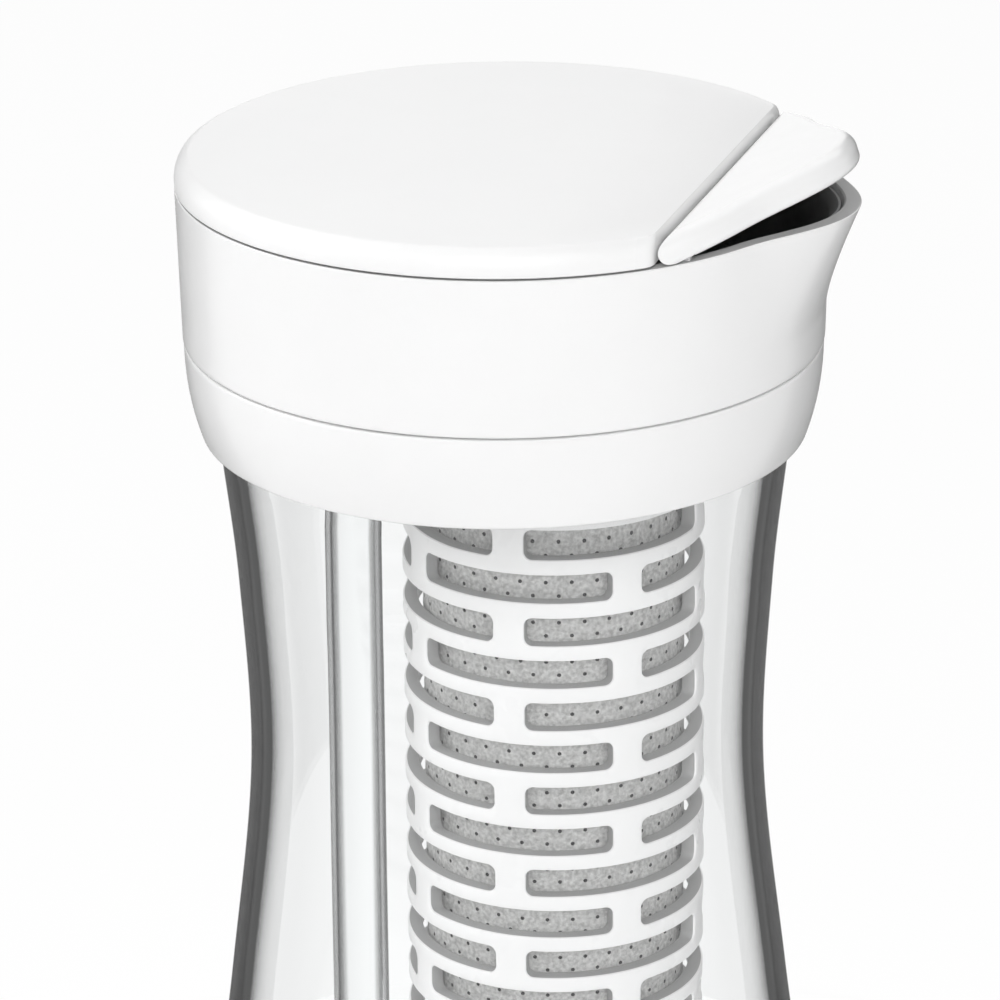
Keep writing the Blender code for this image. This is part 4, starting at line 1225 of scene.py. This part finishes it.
@dataclass
class SlottedCage:
    """The filter cage: a thin tube with staggered rows of round-ended slots."""

    radius: float = 0.0241
    wall: float = 0.0023
    bottom: float = 0.0900
    top: float = 0.2196
    slot_top: float = 0.21468
    slot_height: float = 0.00468
    pitch: float = 0.0072
    rows: int = 16
    slots: int = 4
    land: float = math.radians(12)
    corner: float = 0.0013
    corner_steps: int = 6
    edge: float = 0.00028
    plain_step: float = math.radians(3)
    closest_step: float = math.radians(0.35)

    def __post_init__(self) -> None:
        """Start the mesh and find its columns."""
        self.shape = Shape()
        self.inner = self.radius - self.wall
        self.angles = self.columns()

    def columns(self) -> list[float]:
        """Find the angles of the mesh's columns.

        Returns:
            Angles that are evenly spaced, and close together at the slots' ends.
        """
        marks = {round(index * self.plain_step, 6) for index in range(round(2 * math.pi / self.plain_step))}
        kept: set[float] = set()
        corner_angle = self.corner / self.radius
        reach = math.pi / self.slots - self.land / 2
        for index in range(2 * self.slots):
            for side in (-1, 1):
                for step in range(self.corner_steps + 1):
                    inward = corner_angle * (1 - math.cos(math.pi / 2 * step / self.corner_steps))
                    angle = (math.pi / self.slots * index + side * (reach - inward)) % (2 * math.pi)
                    near = {mark for mark in marks if abs(mark - angle) <= self.closest_step}
                    kept.add(round(angle, 6))
                    marks = marks - (near - kept) | kept
        return sorted(marks)

    def vert(self, angle: float, radius: float, height: float) -> Vert:
        """Add a point at an angle, radius and height."""
        spot = (HOLDER_X + radius * math.cos(angle), radius * math.sin(angle), height)
        return self.shape.mesh.verts.new(spot)

    def ring(self, radius: float, height: float) -> list[Vert]:
        """Add a full ring of points."""
        return [self.vert(angle, radius, height) for angle in self.angles]

    def end_distance(self, angle: float, row: int) -> float:
        """Measure how far a column lies inside its slot's end.

        Args:
            angle: The column's angle.
            row: The row's number, from the top.

        Returns:
            The distance round the cage, below zero on a land.
        """
        spacing = 2 * math.pi / self.slots
        stagger = spacing / 2 * ((row + 1) % 2)
        offset = (angle - stagger + spacing / 2) % spacing - spacing / 2
        return (spacing / 2 - self.land / 2 - abs(offset)) * self.radius

    def corner_cut(self, distance: float) -> float:
        """Give how far a rounded corner narrows a slot, at a distance from its end."""
        left = self.corner - min(max(distance, 0), self.corner)
        return self.corner - math.sqrt(max(self.corner**2 - left**2, 0))

    def build(self) -> bpy.types.Mesh:
        """Build the cage's mesh.

        Returns:
            A closed mesh. Its slot walls have material index 1, a grey that is painted shade for the shadow
            inside the slots.
        """
        soft = self.edge
        levels = [(self.inner, 0), (self.radius - soft, 0), (self.radius - 0.3 * soft, 0.3 * soft)]
        levels.append((self.radius, soft))
        low_rings = [self.ring(radius, self.bottom + rise) for radius, rise in levels]
        self.shape.skins(low_rings)
        outer_line, inner_line = low_rings[-1], low_rings[0]
        for row in reversed(range(self.rows)):
            outer_line, inner_line = self.add_row(row, outer_line, inner_line)
        high_rings = [self.ring(radius, self.top - rise) for radius, rise in reversed(levels)]
        self.shape.skins([outer_line, *high_rings, inner_line])
        return self.shape.finished("slotted cage")

    def add_row(
        self, row: int, outer_line: list[Vert], inner_line: list[Vert]
    ) -> tuple[list[Vert], list[Vert]]:
        """Add one row of slots above the lines reached so far.

        Args:
            row: The row's number, from the top.
            outer_line: The outer face's points below the row.
            inner_line: The inner face's points below the row.

        Returns:
            The outer and inner points along the border above the row.
        """
        high = self.slot_top - self.pitch * row
        low = high - self.slot_height
        border = high + (self.pitch - self.slot_height) / 2
        distances = [self.end_distance(angle, row) for angle in self.angles]
        inside = [distance > -1e-6 for distance in distances]
        cuts = [self.corner_cut(distance) for distance in distances]
        spreads = self.edge_spreads(inside, cuts)
        chains = []
        for height, side in ((low, 1), (high, -1)):
            columns = zip(self.angles, cuts, spreads)
            chains.append([self.edge_chain(height, side, *column) for column in columns])
        count = len(self.angles)
        open_steps = [inside[index] and inside[(index + 1) % count] for index in range(count)]
        outer_top, inner_top = self.ring(self.radius, border), self.ring(self.inner, border)
        for line, end, top in ((outer_line, 0, outer_top), (inner_line, -1, inner_top)):
            slot_low, slot_high = ([chain[end] for chain in edge] for edge in chains)
            self.shape.skin(line, slot_low)
            self.shape.skin(slot_low, slot_high, open_steps)
            self.shape.skin(slot_high, top)
        self.add_slot_walls(chains, inside, open_steps)
        return outer_top, inner_top

    def edge_spreads(self, inside: Sequence[bool], cuts: Sequence[float]) -> list[Point | None]:
        """Find which way a slot's edge points spread on the outer face, at its low edge.

        Args:
            inside: Whether each column crosses a slot.
            cuts: How far each column's slot is narrowed at each edge.

        Returns:
            For each column, the direction along and up, or None on a land.
        """
        count = len(self.angles)

        def slope(first: int, second: int) -> Vector:
            """Give the direction square to the low edge between two columns."""
            gap = (self.angles[second] - self.angles[first]) % (2 * math.pi) * self.radius
            return Vector((cuts[second] - cuts[first], -gap)).normalized()

        spreads: list[Point | None] = []
        for index in range(count):
            before, after = (index - 1) % count, (index + 1) % count
            start = slope(before, index) if inside[before] else Vector((-1, 0))
            end = slope(index, after) if inside[after] else Vector((1, 0))
            spreads.append(tuple((start + end).normalized()) if inside[index] else None)
        return spreads

    def edge_chain(
        self, height: float, side: int, angle: float, cut: float, spread: Point | None
    ) -> list[Vert]:
        """Add a column's points over a slot's low or high edge.

        Args:
            height: The slot's full low or high height.
            side: 1 for the low edge and -1 for the high one.
            angle: The column's angle.
            cut: How far the slot is narrowed here.
            spread: Which way the edge spreads at the slot's low side, or None on a land.

        Returns:
            Points from the outer face, over the softened edge, to the inner face.
        """
        level = height + side * cut
        if spread is None:
            return [self.vert(angle, self.radius, level), self.vert(angle, self.inner, level)]
        along, up = spread
        chain = []
        for share, depth in ((1.0, 0.0), (0.3, 0.3), (0.0, 1.0)):
            moved = angle + along * self.edge * share / self.radius
            lifted = level + side * up * self.edge * share
            chain.append(self.vert(moved, self.radius - self.edge * depth, lifted))
        return [*chain, self.vert(angle, self.inner, level)]

    def add_slot_walls(
        self, chains: Sequence[Sequence[list[Vert]]], inside: Sequence[bool], open_steps: Sequence[bool]
    ) -> None:
        """Close a row's slots round their edges.

        Args:
            chains: The points over the low and the high edges, by column.
            inside: Whether each column crosses a slot.
            open_steps: Whether the step after each column crosses a slot.
        """
        low, high = chains
        for index, is_open in enumerate(open_steps):
            after = (index + 1) % len(open_steps)
            sides = []
            if is_open:
                sides += [(low[index], low[after]), (high[after], high[index])]
            if inside[index] and is_open != open_steps[index - 1]:
                sides.append((low[index], high[index]))
            for first, second in sides:
                # Depth 2 is the wall inside the softened edge. It takes the painted shade grey.
                for depth in range(3):
                    corners = (first[depth], second[depth], second[depth + 1], first[depth + 1])
                    self.shape.face(corners, 1 if depth == 2 else 0)


@dataclass
class FilterHolder:
    """The filter holder: slotted cage, head with its neck and two sealing rings."""

    disc_base: float = 0.2199
    disc_top: float = 0.2224
    neck_top: float = 0.2336
    neck_radius: float = 0.0126
    neck_bore: float = 0.0096
    groove_drops: tuple[float, ...] = (0.0034, 0.0078)
    groove_half: float = 0.0012
    groove_depth: float = 0.0009
    skirt_gap: float = 0.0006
    skirt_wall: float = 0.0012
    skirt_depth: float = 0.0018
    rounding: float = 0.0003
    segments: int = 128

    def head_profile(self, cage: SlottedCage) -> list[Point]:
        """Draw the head's section.

        Args:
            cage: The cage that the head closes.

        Returns:
            Points down the neck with its grooves, round the disc and along the skirt in the cage.
        """
        points = [(self.neck_bore, self.neck_top), (self.neck_radius, self.neck_top)]
        floor = self.neck_radius - self.groove_depth
        for drop in self.groove_drops:
            high, low = self.neck_top - drop + self.groove_half, self.neck_top - drop - self.groove_half
            points += [(self.neck_radius, high), (floor, high), (floor, low), (self.neck_radius, low)]
        skirt = cage.inner - self.skirt_gap
        skirt_base = self.disc_base - self.skirt_depth
        points += [(self.neck_radius, self.disc_top), (cage.radius, self.disc_top)]
        points += [(cage.radius, self.disc_base), (skirt, self.disc_base), (skirt, skirt_base)]
        points += [(skirt - self.skirt_wall, skirt_base), (skirt - self.skirt_wall, self.disc_base)]
        points.append((self.neck_bore, self.disc_base))
        return points

    def dress(self, nodes: dict[str, bpy.types.Object]) -> None:
        """Build and place the holder's pieces.

        Args:
            nodes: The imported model's nodes, by name.
        """
        cage = SlottedCage()
        finishes = [Finish.CAGE, Finish.SLOT_WALL_SHADE]
        place_piece("slotted_cage", cage.build(), finishes, Body.HOLDER, "filter_cage")
        profile = round_corners(self.head_profile(cage), self.rounding)
        head = turned_mesh("holder head", profile, self.segments, HOLDER_X)
        place_piece("holder_cap", head, [Finish.CAGE], Body.HOLDER, "holder_head")
        for name in ("head_ring_1", "head_ring_2"):
            dress_node(nodes, name, Finish.BLACK_RUBBER)


@dataclass
class Cartridge:
    """The cartridge: pinholed sleeve, carbon block, core tube and two caps."""

    radius: float = 0.0209
    wall: float = 0.0013
    bottom: float = 0.0943
    top: float = 0.2152
    holes_round: int = 33
    row_pitch: float = 0.0022
    hole_radius: float = 0.00033
    hole_depth: float = 0.0008
    cap_top: float = 0.0940
    flange_top: float = 0.0897
    flange_radius: float = 0.0241
    flange_base: float = 0.0865
    cap_rounding: float = 0.0004
    bar_half: float = 0.0181
    bar_radius: float = 0.003
    bar_base: float = 0.0853
    bar_edge: float = 0.0003
    bar_root: float = 0.001
    bar_narrowing: Point = (0.985, 0.9)
    segments: int = 128

    def vert(self, shape: Shape, turn: float, height: float, radius: float) -> Vert:
        """Add a point to the sleeve, by its place round it in half steps from pinhole to pinhole."""
        angle = math.pi * turn / self.holes_round
        return shape.mesh.verts.new((HOLDER_X + radius * math.cos(angle), radius * math.sin(angle), height))

    def sleeve_mesh(self) -> bpy.types.Mesh:
        """Build the sleeve with staggered rows of real pinholes.

        Returns:
            A closed mesh. Its pinholes have material index 1, a near-black that is painted shade for the
            shadow in the holes.
        """
        shape = Shape()
        half_steps = 2 * self.holes_round
        rows = int((self.top - self.bottom) / self.row_pitch)
        pitch = (self.top - self.bottom) / rows
        borders = []
        for row in range(rows + 1):
            height = self.bottom + pitch * row
            borders.append([self.vert(shape, step, height, self.radius) for step in range(half_steps)])
        for row in range(rows):
            middle = self.bottom + pitch * (row + 0.5)
            self.add_pinholes(shape, row % 2, middle, borders[row], borders[row + 1])
        bore = self.radius - self.wall
        low_ring = [self.vert(shape, step, self.bottom, bore) for step in range(half_steps)]
        high_ring = [self.vert(shape, step, self.top, bore) for step in range(half_steps)]
        shape.skins([borders[0], low_ring, high_ring, borders[-1]])
        return shape.finished("pinholed sleeve")

    def add_pinholes(
        self, shape: Shape, start: int, middle: float, low: Sequence[Vert], high: Sequence[Vert]
    ) -> None:
        """Add one row of pinholes between two borders.

        Args:
            shape: The sleeve in the making.
            start: The half step where the row's first cell begins.
            middle: The height of the pinholes' middles.
            low: The points along the border below.
            high: The points along the border above.
        """
        half_steps = len(low)
        step_width = math.pi * self.radius / self.holes_round
        sides = {}
        for cell in range(self.holes_round):
            turn = start + 2 * cell
            sides[turn % half_steps] = self.vert(shape, turn, middle, self.radius)
        for cell in range(self.holes_round):
            left = (start + 2 * cell) % half_steps
            centre, right = (left + 1) % half_steps, (left + 2) % half_steps
            frame = [low[left], low[centre], low[right], sides[right]]
            frame += [high[right], high[centre], high[left], sides[left]]
            rim, deep = [], []
            for corner in range(8):
                angle = math.pi * (1.25 + corner / 4)
                turn = start + 2 * cell + 1 + self.hole_radius * math.cos(angle) / step_width
                height = middle + self.hole_radius * math.sin(angle)
                rim.append(self.vert(shape, turn, height, self.radius))
                deep.append(self.vert(shape, turn, height, self.radius - self.hole_depth))
            # The pinholes' walls and floors take material 1, a painted shade near-black.
            for corner in range(8):
                after = (corner + 1) % 8
                shape.face((frame[corner], frame[after], rim[after], rim[corner]))
                shape.face((rim[corner], rim[after], deep[after], deep[corner]), 1)
            shape.face(deep, 1)

    def base_mesh(self) -> bpy.types.Mesh:
        """Turn the base cap with its flange and raise the finger bar under it.

        Returns:
            A closed mesh.
        """
        base, edge = self.flange_base, self.cap_rounding
        profile = [(0, self.cap_top), (self.radius, self.cap_top), (self.radius, self.flange_top)]
        profile += [(self.flange_radius, self.flange_top), (self.flange_radius, base + edge)]
        profile += [(self.flange_radius - edge, base), (0, base)]
        cap = turned_mesh("base cap", round_corners(profile, edge), self.segments, HOLDER_X)
        outline = []
        for side, end in ((1, 0), (-1, math.pi)):
            centre = (side * (self.bar_half - self.bar_radius), 0)
            outline += arc(self.bar_radius, end - math.pi / 2, end + math.pi / 2, 12, centre)
        narrow = [(x * self.bar_narrowing[0], y * self.bar_narrowing[1]) for x, y in outline]
        sections = [(self.bar_base, narrow), (self.bar_base + self.bar_edge, outline)]
        sections.append((base + self.bar_root, outline))
        bar = loft_mesh("finger bar", sections, capped=True, shift_x=HOLDER_X)
        return combined_mesh(cap, [bar], "UNION")

    def dress(self, nodes: dict[str, bpy.types.Object]) -> None:
        """Build and place the cartridge's pieces.

        Args:
            nodes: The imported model's nodes, by name.
        """
        sleeve = self.sleeve_mesh()
        finishes = [Finish.SLEEVE, Finish.PINHOLE_SHADE]
        place_piece("pinholed_sleeve", sleeve, finishes, Body.CARTRIDGE, "cartridge_sleeve")
        base = self.base_mesh()
        place_piece("base_cap", base, [Finish.CAGE], Body.CARTRIDGE, "cartridge_base")
        dress_node(nodes, "cartridge_top", Finish.CAGE)
        dress_node(nodes, "core_tube", Finish.CAGE)
        dress_node(nodes, "carbon_core", Finish.CARBON)
        dress_node(nodes, "spigot_ring", Finish.BLACK_RUBBER)


@dataclass(frozen=True)
class Softbox:
    """A square lamp that faces the lid, placed in degrees to the viewer's right and above the lid."""

    name: str
    azimuth: float
    elevation: float
    watts: float
    size: float = 1.0
    distance: float = 1.5
    lid_height: float = 0.2

    def hang(self, ahead: Point) -> None:
        """Hang the lamp.

        Args:
            ahead: The viewer's level direction of view.
        """
        level, turn = math.radians(self.elevation), math.radians(self.azimuth)
        toward = Vector((-ahead[0], -ahead[1], 0))
        right = Vector((ahead[1], -ahead[0], 0))
        direction = (toward * math.cos(turn) + right * math.sin(turn)) * math.cos(level)
        direction.z = math.sin(level)
        light = bpy.data.lights.new(self.name, "AREA")
        light.size = self.size
        light.energy = self.watts
        lamp = bpy.data.objects.new(self.name, light)
        lamp.location = direction * self.distance + Vector((0, 0, self.lid_height))
        lamp.rotation_euler = direction.to_track_quat("Z", "Y").to_euler()
        bpy.context.scene.collection.objects.link(lamp)


@dataclass
class Studio:
    """Pale floor, soft lamps, and the graded backdrop that the clear parts show."""

    ahead: Point = (-0.3082, 0.9513)
    floor_half: float = 3.0
    floor_glow: float = 0.93
    world_level: float = 0.28
    screen_radius: float = 0.25
    screen_height: float = 0.42
    screen_lift: float = 0.002
    screen_half_angle: float = math.radians(70)
    screen_steps: int = 72
    ramp: tuple[Point, ...] = (
        (0, 1.0), (9, 1.0), (14, 0.91), (18, 0.84), (24, 0.8), (27, 0.72), (30, 0.62), (34, 0.36), (38, 0.1)
    )
    mirrored_ramp: tuple[Point, ...] = ((0, 1.0), (17, 1.0), (23, 0.16), (60, 0.16), (70, 1.0))
    softboxes: tuple[Softbox, ...] = (
        Softbox("front softbox", 0, 30, 11.9),
        Softbox("left softbox", -100, 30, 10.6),
        Softbox("right softbox", 40, 30, 2.8),
        Softbox("top softbox", -60, 78, 0.8),
        Softbox("back left softbox", -140, 50, 3.2),
        Softbox("back right softbox", 140, 50, 2.5),
    )

    def stage_sheet(
        self,
        name: str,
        corners: Sequence[Sequence[float]],
        faces: Sequence[Sequence[int]],
        material: bpy.types.Material,
    ) -> bpy.types.Object:
        """Add a sheet that isn't part of the pitcher.

        Args:
            name: Its name.
            corners: Its points.
            faces: Its faces, by the numbers of their points.
            material: Its material.

        Returns:
            The new object.
        """
        mesh = bpy.data.meshes.new(name)
        mesh.from_pydata(corners, [], faces)
        mesh.materials.append(material)
        sheet = bpy.data.objects.new(name, mesh)
        bpy.context.scene.collection.objects.link(sheet)
        return sheet

    def backdrop_material(self) -> bpy.types.Material:
        """Make the graded glow, with a darker grading for reflections.

        Returns:
            The material.
        """
        material = bpy.data.materials.new("graded backdrop")
        recipe = Recipe(material)
        parts = recipe.add("SeparateXYZ", {0: recipe.spot()}).outputs
        turn = recipe.compute("ABSOLUTE", recipe.compute("ARCTAN2", parts["X"], parts["Y"]))
        share = recipe.compute("DIVIDE", turn, self.screen_half_angle)
        levels = []
        for points in (self.ramp, self.mirrored_ramp):
            stops = [(math.radians(turned) / self.screen_half_angle, grey(level)) for turned, level in points]
            levels.append(recipe.ramp(share, stops))
        path = recipe.add("LightPath").outputs
        mirrored = recipe.compute("SUBTRACT", path["Is Glossy Ray"], path["Is Transmission Ray"])
        level = recipe.add("MapRange", {"Value": mirrored, "To Min": levels[0], "To Max": levels[1]})
        glow = recipe.add("Emission", {"Color": level.outputs[0], "Strength": 1.0})
        recipe.fill(recipe.output, {"Surface": glow.outputs[0]})
        return material

    def stand_backdrop(self) -> None:
        """Stand the curved backdrop behind the pitcher: white in the middle and dark at the sides."""
        corners = []
        for step in range(self.screen_steps + 1):
            angle = self.screen_half_angle * (2 * step / self.screen_steps - 1)
            x, y = self.screen_radius * math.sin(angle), self.screen_radius * math.cos(angle)
            corners += [(x, y, self.screen_lift), (x, y, self.screen_height)]
        faces = [(low, low + 2, low + 3, low + 1) for low in range(0, 2 * self.screen_steps, 2)]
        screen = self.stage_sheet("backdrop", corners, faces, self.backdrop_material())
        screen.rotation_euler = (0, 0, math.atan2(-self.ahead[0], self.ahead[1]))
        screen.visible_camera = False
        screen.visible_shadow = False

    def lay_floor(self) -> None:
        """Lay the pale floor, which looks white and keeps the pitcher's shadow."""
        material = bpy.data.materials.new("pale floor")
        recipe = Recipe(material)
        recipe.set(Base_Color=(*grey(0.9), 1), Roughness=0.7)
        glow = recipe.add("Emission", {"Color": (1, 1, 1, 1), "Strength": 1.0})
        share = recipe.compute("MULTIPLY", recipe.seen(), self.floor_glow)
        recipe.show(share, recipe.shader.outputs[0], glow.outputs[0])
        half = self.floor_half
        corners = [(-half, -half, 0), (half, -half, 0), (half, half, 0), (-half, half, 0)]
        self.stage_sheet("floor", corners, [(0, 1, 2, 3)], material)

    def light_surround(self) -> None:
        """Give an even soft surround that looks white."""
        world = bpy.data.worlds.new("soft surround")
        recipe = Recipe(world)
        level = recipe.add("MapRange", {"Value": recipe.seen(), "To Min": self.world_level, "To Max": 1.0})
        recipe.set(Color=(1, 1, 1, 1), Strength=level.outputs[0])
        bpy.context.scene.world = world

    def build(self) -> None:
        """Set up floor, backdrop, surround and lamps."""
        self.lay_floor()
        self.stand_backdrop()
        self.light_surround()
        for softbox in self.softboxes:
            softbox.hang(self.ahead)
        LOG.info("studio: floor, backdrop, surround and %d softboxes", len(self.softboxes))


@dataclass
class Viewpoint:
    """The photograph's viewpoint, as fitted to the lid's edges."""

    place: tuple[float, float, float] = (0.22659, -0.7070, 0.4949)
    forward: tuple[float, float, float] = (-0.28766, 0.88798, -0.35881)
    roll: float = math.radians(-0.488)
    lens: float = 179.61
    sensor: float = 36.0
    nearest: float = 0.01
    furthest: float = 20

    def build(self) -> None:
        """Set up the scene's camera."""
        ahead = Vector(self.forward).normalized()
        right = ahead.cross(Vector((0, 0, 1))).normalized()
        up = right.cross(ahead)
        turned_right = right * math.cos(self.roll) + up * math.sin(self.roll)
        turned_up = up * math.cos(self.roll) - right * math.sin(self.roll)
        matrix = Matrix((turned_right, turned_up, -ahead)).transposed().to_4x4()
        matrix.translation = self.place
        data = bpy.data.cameras.new("camera")
        data.lens = self.lens
        data.sensor_width = self.sensor
        data.clip_start = self.nearest
        data.clip_end = self.furthest
        camera = bpy.data.objects.new("camera", data)
        bpy.context.scene.collection.objects.link(camera)
        camera.matrix_world = matrix
        bpy.context.scene.camera = camera


def main() -> None:
    """Build the pitcher's sub-assemblies in order."""
    logging.basicConfig(level=logging.INFO, format="%(message)s")
    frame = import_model()
    nodes = frame["nodes"]
    bpy.context.scene.view_settings.view_transform = "Standard"
    Viewpoint().build()
    form, hinge = SpoutForm(), Hinge()
    Carafe().dress()
    Seal().dress()
    Lid(form, hinge).dress(nodes)
    Flap(form, hinge).dress()
    FilterHolder().dress(nodes)
    Cartridge().dress(nodes)
    Studio().build()


if __name__ == "__main__":
    main()
